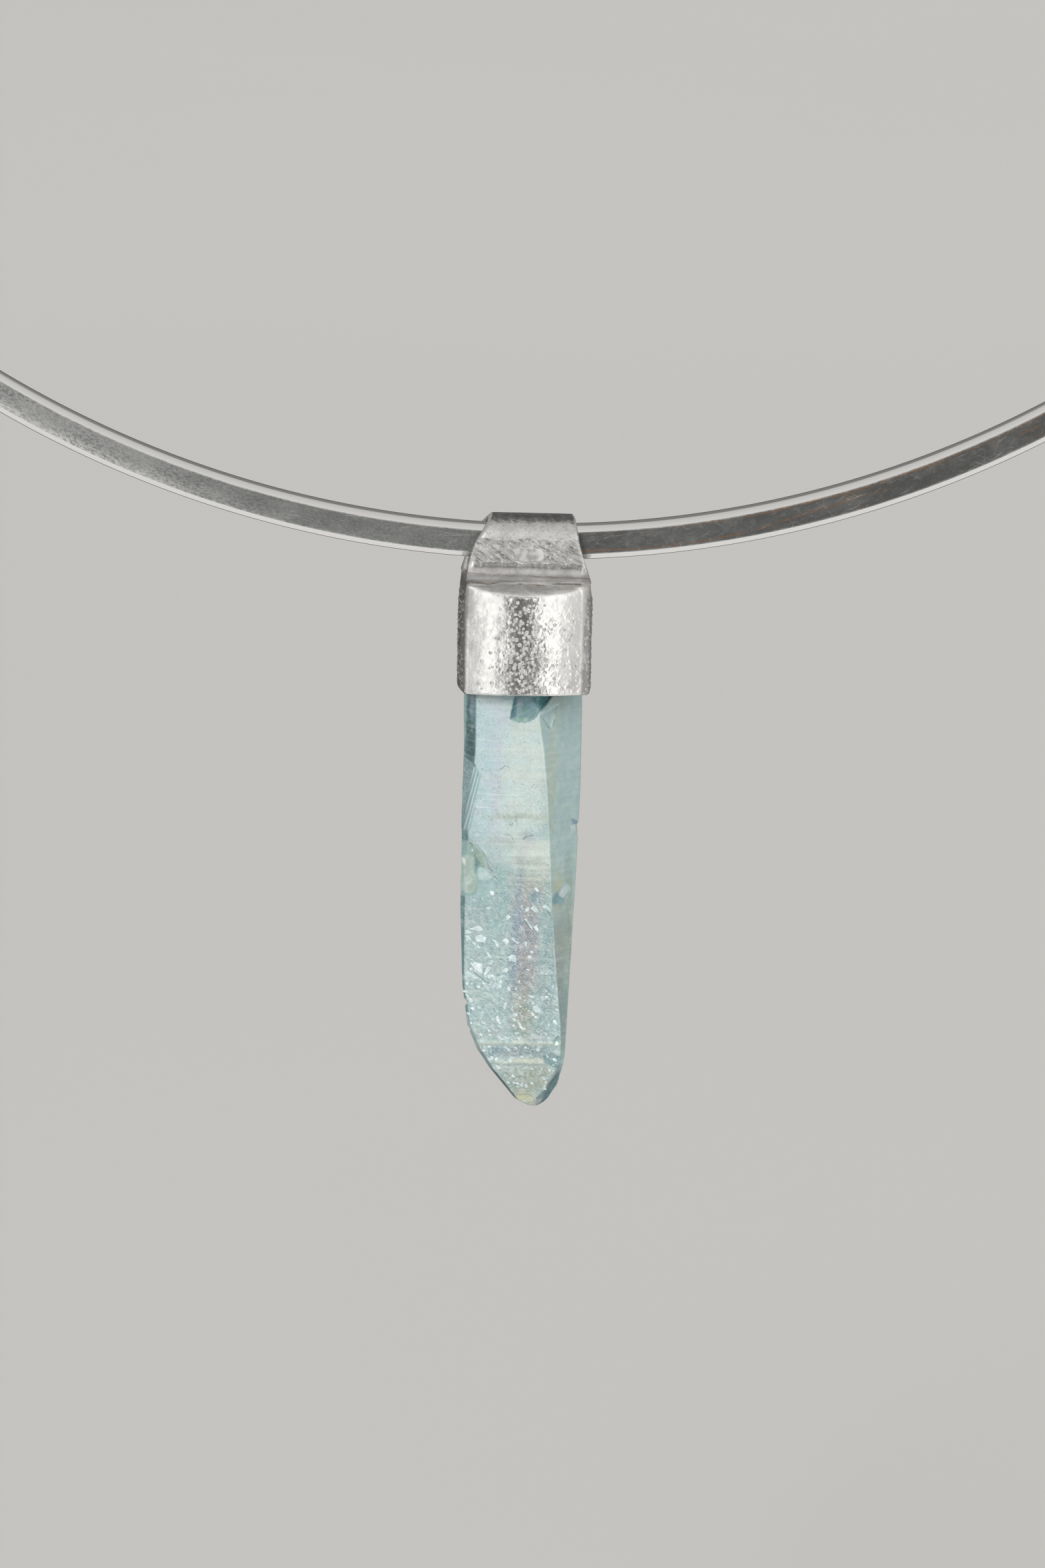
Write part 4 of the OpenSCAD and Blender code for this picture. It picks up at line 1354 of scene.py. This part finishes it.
# Thin marks on the front: start and end, half width, how far the middle is bowed up, and 1 for a pale mark,
# a painted highlight along a ridge top or a break's rim
MARKS = (
    ((-1.42, -14.16), (-0.60, -14.12), 0.028, 0.34, 0),
    ((-1.05, -18.20), (-0.40, -18.62), 0.030, 0.20, 0),
    ((-0.72, -17.58), (-0.48, -17.36), 0.022, 0.09, 0),
    ((-0.72, -17.58), (-0.48, -17.36), 0.022, -0.09, 0),
    ((0.16, -18.52), (0.92, -18.18), 0.045, 0.10, 0),
    ((0.32, -23.62), (1.06, -24.55), 0.022, 0.02, 0),
    ((-3.10, -18.55), (-2.45, -19.16), 0.026, 0.03, 0),
    ((-2.56, -19.02), (-2.15, -19.66), 0.026, 0.03, 0),
    ((-2.22, -19.36), (-1.88, -20.50), 0.026, 0.03, 0),
    ((-1.98, -20.28), (-1.34, -21.08), 0.030, 0.03, 0),
    ((-2.84, -19.45), (-2.40, -20.16), 0.034, -0.02, 0),
    ((-2.44, -20.20), (-2.14, -20.24), 0.022, -0.02, 0),
    ((-3.30, -18.30), (-2.90, -18.95), 0.035, -0.05, 0),
    ((1.20, -10.70), (1.72, -11.54), 0.032, 0.0, 0),
    ((2.15, -10.44), (1.86, -11.44), 0.026, 0.0, 0),
    ((2.80, -22.40), (3.20, -21.92), 0.030, -0.05, 0),
    ((-3.02, -26.80), (-1.50, -27.96), 0.026, -0.04, 0),
    ((1.62, -22.80), (2.20, -23.62), 0.040, 0.0, 0),
    ((-2.40, -18.95), (-2.04, -19.60), 0.018, 0.03, 1),
    ((-1.72, -20.62), (-1.34, -20.96), 0.020, 0.02, 1),
    ((-2.90, -15.60), (0.34, -15.68), 0.022, 0.0, 1),
    ((-2.85, -16.44), (-1.80, -16.50), 0.028, 0.0, 1),
    ((-2.90, -12.15), (-0.60, -12.22), 0.020, 0.0, 1),
)


def mark(kit, x, z, start, end, half, bow):
    """1 on a thin line from start to end whose middle is bowed up."""
    run = (end[0] - start[0], end[1] - start[1])
    length = math.hypot(*run)
    along_start = (start[0] * run[0] + start[1] * run[1]) / length**2
    along = kit.plus(kit.times(x, run[0] / length**2), kit.times(z, run[1] / length**2), -along_start)
    across_start = (start[0] * run[1] - start[1] * run[0]) / length
    across = kit.plus(kit.times(x, -run[1] / length), kit.times(z, run[0] / length), across_start)
    bowed = kit.plus(across, kit.times(along, kit.plus(along, -1.0), 4 * bow))
    near = kit.fall(kit.maths("ABSOLUTE", bowed), half * 0.5, half * 1.8)
    return kit.times(near, kit.window(along, 0.12, 0.88, 0.12))


def all_marks(kit, place, pale):
    """The thin marks of one kind, each a little crooked and broken."""
    x, _, z = kit.split(place)
    crooked = kit.times(kit.plus(kit.grain(place, 3.0, 3.0, 0.6), -0.5), MARK_WANDER)
    x = kit.plus(x, crooked)
    z = kit.plus(z, kit.times(crooked, -0.8))
    marks = kit.most(*(mark(kit, x, z, *row) for *row, kind in MARKS if kind == pale))
    return kit.times(marks, kit.rise(kit.grain(place, 4.0, 2.0, 0.6), 0.35, 0.55, 0.35, 1.0))


def etched_plates(kit, place, z, low):
    """Pale plates on the etched lower face and the dark ones between them, closer towards the tip."""
    crowd = kit.rise(kit.grain(place, 1.1, 3.0, 0.6), 0.42, 0.62)
    crowd = kit.times(crowd, kit.rise(z, -23.5, -27.5, 0.3, 1.0))
    warp = kit.times(kit.grain(place, 2.2, 3.0, 0.6), 0.5)
    warped = kit.maths("ADD", place, warp, kind="VectorMath")
    slanting = kit.stretch(warped, (3.4, 3.4, 6.0), (0, math.radians(STROKE_LEAN), 0))
    tone = kit.split(kit.cells(slanting, 1.0, "Color"))[0]
    pale = kit.times(kit.rise(tone, 0.66, 0.72), low, kit.pile(0.2, (crowd, 0.8)))
    return pale, kit.times(kit.rise(tone, 0.18, 0.10), low, crowd)


def aura_quartz():
    """Coated quartz: its tints, with the light and shade painted into them, are kept in the mesh, and the
    fine etching on them is made here.
    """
    material, kit = new_material("aura_quartz")
    place = kit.bench(HINGE)
    x, y, z = kit.split(place)
    broken, flat, ridged, hatched = (
        kit.attribute(name) for name in ("broken", "front", "ridged", "hatched")
    )
    whole = kit.fall(broken, 0.0, 1.0)
    front = kit.rise(y, -0.6, -1.2)
    low = kit.times(kit.rise(z, -18.8, -25.5), kit.pile(0.10, (flat, 0.90)), whole)
    etched = kit.pile(0.0, (whole, flat, 0.26), (whole, 0.12), (low, 0.62))
    aslant = kit.times(whole, kit.fall(flat, 0.0, 1.0))
    even = kit.times(whole, flat)

    strokes = kit.drawn_grain(place, (3.0, 3.0, 9.5), 3.0, 0.65, STROKE_LEAN)
    fine = kit.drawn_grain(place, (6.5, 6.5, 16.0), 2.0, 0.6, STROKE_LEAN)
    layers = kit.drawn_grain(place, (0.2, 0.2, 4.0), 3.0, 0.6)
    rippled = kit.drawn_grain(place, (1.4, 1.4, 4.0), 3.0, 0.6, 30)
    hatching = kit.drawn_grain(place, (2.5, 2.5, 17.0), 2.0, 0.5, -40)
    mottle = kit.grain(place, 1.9, 4.0, 0.65)
    clouds = kit.grain(place, 0.8, 3.0, 0.6)
    specks = kit.times(kit.rise(kit.grain(place, 6.0), 0.67, 0.73), kit.pile(0.25, (flat, 0.75)))
    across = kit.pile(0.0, (x, SLANT_ACROSS[0]), (z, SLANT_ACROSS[1]))
    wave = kit.pile(0.5, (kit.maths("SINE", kit.times(across, 2 * math.pi / RIDGE_SPACING)), 0.5))
    pale_plates, dark_plates = etched_plates(kit, place, z, low)
    sparkle = kit.times(kit.rise(fine, 0.56, 0.64), low)

    colour = kit.coated(
        kit.attribute("tint_and_painted_light", "Color"),
        ((0.74, 0.82, 0.83), kit.rise(mottle, 0.48, 0.68), 0.20),
        ((0.26, 0.36, 0.38), kit.rise(mottle, 0.50, 0.32), 0.20),
        ((0.72, 0.82, 0.82), kit.rise(rippled, 0.48, 0.66), broken, 0.15),
        ((0.14, 0.26, 0.28), kit.rise(rippled, 0.50, 0.34), broken, 0.13),
        ((0.86, 0.90, 0.90), kit.rise(fine, 0.64, 0.72), aslant, kit.rise(x, 0.0, 1.0), 0.5),
        ((0.78, 0.84, 0.83), kit.rise(layers, 0.50, 0.70), aslant, 0.16),
        ((0.26, 0.35, 0.35), kit.rise(layers, 0.45, 0.30), aslant, 0.14),
        ((0.66, 0.75, 0.76), kit.rise(strokes, 0.46, 0.66), etched, 0.24),
        ((0.18, 0.29, 0.30), kit.rise(strokes, 0.50, 0.32), etched, 0.36),
        ((0.84, 0.88, 0.88), kit.rise(fine, 0.50, 0.62), even, 0.26),
        ((0.36, 0.46, 0.47), kit.rise(fine, 0.48, 0.36), even, 0.26),
        ((0.66, 0.76, 0.77), pale_plates, 0.55),
        ((0.17, 0.29, 0.31), dark_plates, 0.4),
        ((0.84, 0.88, 0.87), sparkle, 0.36),
        ((0.78, 0.82, 0.78), kit.rise(layers, 0.52, 0.68), even, 0.22),
        ((0.34, 0.42, 0.38), kit.rise(layers, 0.42, 0.28), even, 0.18),
        (kit.mix(wave, (0.23, 0.35, 0.36), (0.52, 0.65, 0.65)), ridged, 0.85),
        ((0.45, 0.58, 0.58), hatched, kit.rise(hatching, 0.44, 0.58), 0.4),
        ((0.12, 0.22, 0.25), specks, whole, 0.6),
        ((0.10, 0.17, 0.18), all_marks(kit, place, 0), front, 0.6),
        # Painted highlights: the pale marks along ridge tops and break rims
        ((0.88, 0.93, 0.93), all_marks(kit, place, 1), front, 0.5),
    )
    rough = kit.pile(0.30, (low, 0.05), (strokes, 0.10), (sparkle, -0.15), (broken, -0.12))
    relief = kit.pile(
        0.0, (strokes, etched, 0.8), (layers, flat, 0.2), (layers, aslant, 0.5), (pale_plates, 0.5),
        (fine, low, 0.5), (specks, -0.3), (wave, ridged, 0.6),
    )
    bumped = kit.bump(relief, 0.8, 0.05)
    kit.finish(
        Base_Color=colour, Roughness=rough, Normal=bumped, IOR=1.55, Specular_IOR_Level=0.5,
        Transmission_Weight=0.10, Subsurface_Weight=0.25, Subsurface_Radius=(0.7, 1.0, 1.0),
        Subsurface_Scale=0.4 * MM, Coat_Weight=0.3, Coat_Roughness=0.15, Coat_Normal=bumped,
        Thin_Film_Thickness=kit.rise(clouds, 0.3, 0.7, 350.0, 450.0), Thin_Film_IOR=1.42,
    )
    return material


def add_crystal():
    """The crystal's own mesh. Returns its surface too, to set other pieces on."""
    mesh = crystal_faces()
    places, normals = places_and_normals(mesh)
    front = smooth_step(normals[:, 1], -0.75, -0.9)
    back = smooth_step(normals[:, 1], 0.75, 0.9)
    below = smooth_step(places[:, 2], CAP_RIM + 0.05, CAP_RIM - 0.1)
    before = places.copy()
    broken = np.zeros(len(places))
    for shell in SHELLS:
        broken[scoop(places, *shell)] = 1
    for corners, deep, lean in SUNK_BREAKS:
        broken[sink(places, corners, deep, lean)] = 0.8
    for point, facing, reach in TIP_PLANES:
        broken[shave(places, point, facing, reach)] = 0.4
    skin = rough_skin(before, front + back) * (1 - 0.7 * broken) + grow_ridges(before, front)
    places += normals * ((skin + left_steps(before) - CRYSTAL_SKIN) * below)[:, None]
    store(mesh, "tint_and_painted_light", crystal_colours(before, normals, broken))
    store(mesh, "broken", broken)
    store(mesh, "front", np.maximum(front, 0.8 * back))
    for name, corners in (("ridged", RIDGED), ("hatched", HATCHED)):
        depth = depth_inside(before[:, 0], before[:, 2], corners)
        store(mesh, name, smooth_step(depth, -0.06, 0.08) * (before[:, 1] < 0))
    crystal = put_in_scene("aura_quartz_point", moved_to(mesh, places), aura_quartz())
    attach(crystal, "pendant")
    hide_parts("crystal_point")
    return surface_of(mesh, places)


# Frost flakes: thin pale plates on the etched lower face

FLAKE_SEED = 21
FLAKE_COUNTS = (("front", 260), ("back", 120))
# Where the small flakes lie, across and up
FLAKES_ACROSS = (-3.3, 2.7)
FLAKES_UP = (-35.0, -21.5)
FLAKE_THICK = 0.035
FLAKE_SUNK = 0.02
# Outlines of the large flakes on the front, across and up
FLAKE_OUTLINES = (
    (
        (-2.99, -24.27), (-2.58, -24.07), (-2.27, -24.14), (-2.09, -24.27),
        (-2.13, -24.44), (-2.58, -24.42), (-2.97, -24.36),
    ),
    ((-3.30, -24.36), (-3.11, -24.32), (-2.79, -24.54), (-3.05, -24.62), (-3.30, -24.58)),
    ((-3.36, -24.74), (-3.10, -24.70), (-2.91, -24.92), (-2.94, -25.09), (-3.12, -24.99)),
    (
        (-2.75, -24.86), (-2.55, -24.64), (-2.20, -24.66), (-1.91, -24.84),
        (-2.03, -25.20), (-2.40, -25.15), (-2.62, -25.08),
    ),
    ((-1.70, -24.84), (-1.35, -24.99), (-1.15, -25.26), (-1.21, -25.48), (-1.34, -25.38), (-1.43, -25.16)),
    ((-1.03, -25.01), (-0.78, -24.77), (-0.51, -24.98), (-0.61, -25.25), (-0.72, -25.31), (-0.85, -25.12)),
    ((-2.00, -25.75), (-1.87, -25.72), (-1.62, -26.09), (-1.59, -26.26), (-1.75, -26.15)),
    (
        (-0.62, -26.04), (-0.38, -25.87), (-0.14, -25.92), (-0.01, -26.17),
        (-0.05, -26.44), (-0.37, -26.37), (-0.51, -26.23),
    ),
    ((-3.07, -26.32), (-2.75, -26.34), (-2.09, -26.57), (-2.15, -27.26), (-2.37, -27.15), (-2.98, -26.56)),
    ((-1.85, -26.70), (-1.66, -26.72), (-1.63, -26.89), (-1.99, -27.36), (-2.11, -27.34), (-2.05, -27.03)),
    ((-1.02, -27.01), (-0.79, -26.76), (-0.39, -26.69), (-0.42, -26.86), (-0.70, -27.09), (-0.97, -27.11)),
    (
        (-3.30, -27.12), (-3.11, -27.06), (-2.73, -27.21), (-2.33, -27.48),
        (-2.52, -27.56), (-2.84, -27.43), (-3.28, -27.50),
    ),
    ((-1.24, -27.73), (-1.04, -27.56), (-0.89, -27.61), (-0.93, -27.77), (-1.13, -27.89)),
    ((-0.78, -23.45), (-0.60, -23.31), (-0.46, -23.45), (-0.54, -23.61), (-0.72, -23.70)),
    ((-1.34, -29.99), (-1.13, -29.84), (-1.00, -30.20), (-0.76, -30.32), (-1.00, -30.45), (-1.21, -30.24)),
    ((0.07, -30.24), (0.25, -30.30), (0.43, -30.60), (0.68, -30.72), (0.56, -30.84), (0.26, -30.67)),
    ((-0.82, -29.09), (-0.67, -28.96), (-0.55, -29.08), (-0.61, -29.33), (-0.75, -29.33)),
    ((0.92, -21.63), (1.07, -21.47), (1.28, -21.74), (1.19, -21.86)),
    ((0.37, -23.01), (0.58, -22.76), (0.74, -22.81), (0.64, -23.08), (0.45, -23.14)),
    ((0.74, -22.92), (0.94, -22.61), (1.05, -22.77), (1.32, -23.01), (1.30, -23.26), (1.06, -23.16)),
    ((1.47, -22.76), (1.68, -22.57), (2.04, -22.90), (2.02, -23.12), (1.85, -22.97)),
    ((0.92, -24.09), (1.18, -23.86), (1.30, -24.24), (1.25, -24.51), (1.09, -24.25)),
    ((0.38, -23.52), (0.49, -23.58), (0.87, -24.09), (1.06, -24.49), (0.93, -24.36), (0.66, -23.98)),
    ((-0.27, -24.99), (0.10, -25.03), (0.13, -25.14), (0.00, -25.25)),
    ((0.39, -24.97), (0.63, -25.05), (0.55, -25.35), (0.45, -25.30)),
    ((0.75, -25.62), (1.01, -25.59), (1.01, -25.83), (0.80, -25.78)),
    ((1.00, -29.20), (1.30, -29.08), (1.62, -29.36), (1.55, -29.62), (1.24, -29.66), (1.02, -29.45)),
    ((2.30, -31.47), (2.60, -31.37), (2.75, -31.68), (2.55, -31.78)),
    ((-0.53, -32.74), (-0.30, -32.64), (-0.12, -32.82), (-0.29, -32.96)),
    ((-0.24, -33.88), (-0.13, -33.67), (0.10, -33.96), (-0.09, -34.01)),
    ((-1.79, -32.73), (-1.64, -32.62), (-1.48, -32.82), (-1.61, -32.94)),
    ((-2.90, -22.32), (-2.70, -22.36), (-2.62, -22.48), (-2.80, -22.46)),
    ((-3.02, -19.18), (-2.92, -19.16), (-2.88, -19.30), (-3.00, -19.32)),
)


def flake_density(x, z):
    """More flakes towards the lower left and the tip."""
    crowd = 0.12 + 0.8 * min(1, max(0, -24.5 - z) / 4)
    return crowd * (1 if x < 0.3 else 0.75)


def lay_flake(bm, surface, spot, side, outline, turn, tilt=(0, 0)):
    """Lay one thin plate with a given outline on the crystal's front or back."""
    found = spot_on(surface, *spot, side)
    if found is None:
        return
    place, facing = found
    leaning = (facing + Vector((tilt[0], 0, tilt[1]))).normalized()
    stand = standing(place - facing * FLAKE_SUNK, leaning)
    made = bmesh.ops.create_circle(bm, cap_ends=True, segments=len(outline), radius=1)["verts"]
    for vert, corner in zip(made, outline):
        vert.co = (*corner, 0)
    bottom = list({f for v in made for f in v.link_faces})
    raised = bmesh.ops.extrude_face_region(bm, geom=bottom)["geom"]
    top = [g for g in raised if isinstance(g, bmesh.types.BMVert)]
    bmesh.ops.translate(bm, verts=top, vec=(0, 0, FLAKE_THICK))
    bmesh.ops.scale(bm, verts=top, vec=(0.82, 0.82, 1))
    turned = Matrix.Rotation(math.radians(turn), 4, "Z")
    bmesh.ops.transform(bm, verts=made + top, matrix=stand @ turned)


def picked_outline(picker, width, height):
    """An irregular outline with six to nine corners."""
    count = picker.choice((6, 7, 8, 9))
    outline = []
    for number in range(count):
        angle = 2 * math.pi * number / count
        reach = picker.uniform(0.32, 0.58)
        outline.append((math.cos(angle) * reach * width, math.sin(angle) * reach * height))
    return outline


def scatter_flakes(bm, surface, picker, side, count):
    placed = 0
    while placed < count:
        across = picker.uniform(*FLAKES_ACROSS)
        up = picker.uniform(*FLAKES_UP)
        if picker.random() > flake_density(across, up):
            continue
        width = 0.12 + 0.32 * picker.random() ** 1.6
        height = width * picker.uniform(0.4, 0.85)
        tilt = picker.uniform(-0.1, 0.1), picker.uniform(-0.1, 0.1)
        outline = picked_outline(picker, width, height)
        lay_flake(bm, surface, (across, up), side, outline, picker.gauss(-36, 22), tilt)
        placed += 1


def frosted_flake():
    material, kit = new_material("frosted_flake")
    place = kit.bench(HINGE)
    veins = kit.drawn_grain(place, (3.5, 3.5, 9.0), 3.0, 0.65, -35)
    clear = kit.rise(kit.grain(place, 2.4, 3.0, 0.6), 0.38, 0.62)
    colour = kit.coated(
        (0.56, 0.67, 0.69),
        ((0.80, 0.86, 0.87), kit.rise(veins, 0.35, 0.60)),
        ((0.42, 0.55, 0.56), clear, 0.7),
    )
    kit.finish(
        Base_Color=colour, Roughness=kit.pile(0.22, (veins, 0.2)), Normal=kit.bump(veins, 0.6, 0.04),
        IOR=1.5, Coat_Weight=0.25, Coat_Roughness=0.15,
    )
    return material


def add_frost_flakes(surface):
    picker = random.Random(FLAKE_SEED)
    bm = bmesh.new()
    for corners in FLAKE_OUTLINES:
        across = sum(x for x, _ in corners) / len(corners)
        up = sum(z for _, z in corners) / len(corners)
        outline = [(x - across, z - up) for x, z in corners]
        lay_flake(bm, surface, (across, up), "front", outline, 0)
    for side, count in FLAKE_COUNTS:
        scatter_flakes(bm, surface, picker, side, count)
    bmesh.ops.recalc_face_normals(bm, faces=bm.faces)
    flakes = put_in_scene("frost_flakes", from_bench(bm, HINGE), frosted_flake(), smooth=False)
    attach(flakes, "pendant")


bpy.context.scene.view_settings.view_transform = "Standard"
add_camera()
studio_world()
add_floor()
for soft_sun in SOFT_SUNS:
    add_soft_sun(*soft_sun)
add_neck_ring()
add_nape_clasp()
add_molten_beads(add_bail_cap())
add_frost_flakes(add_crystal())
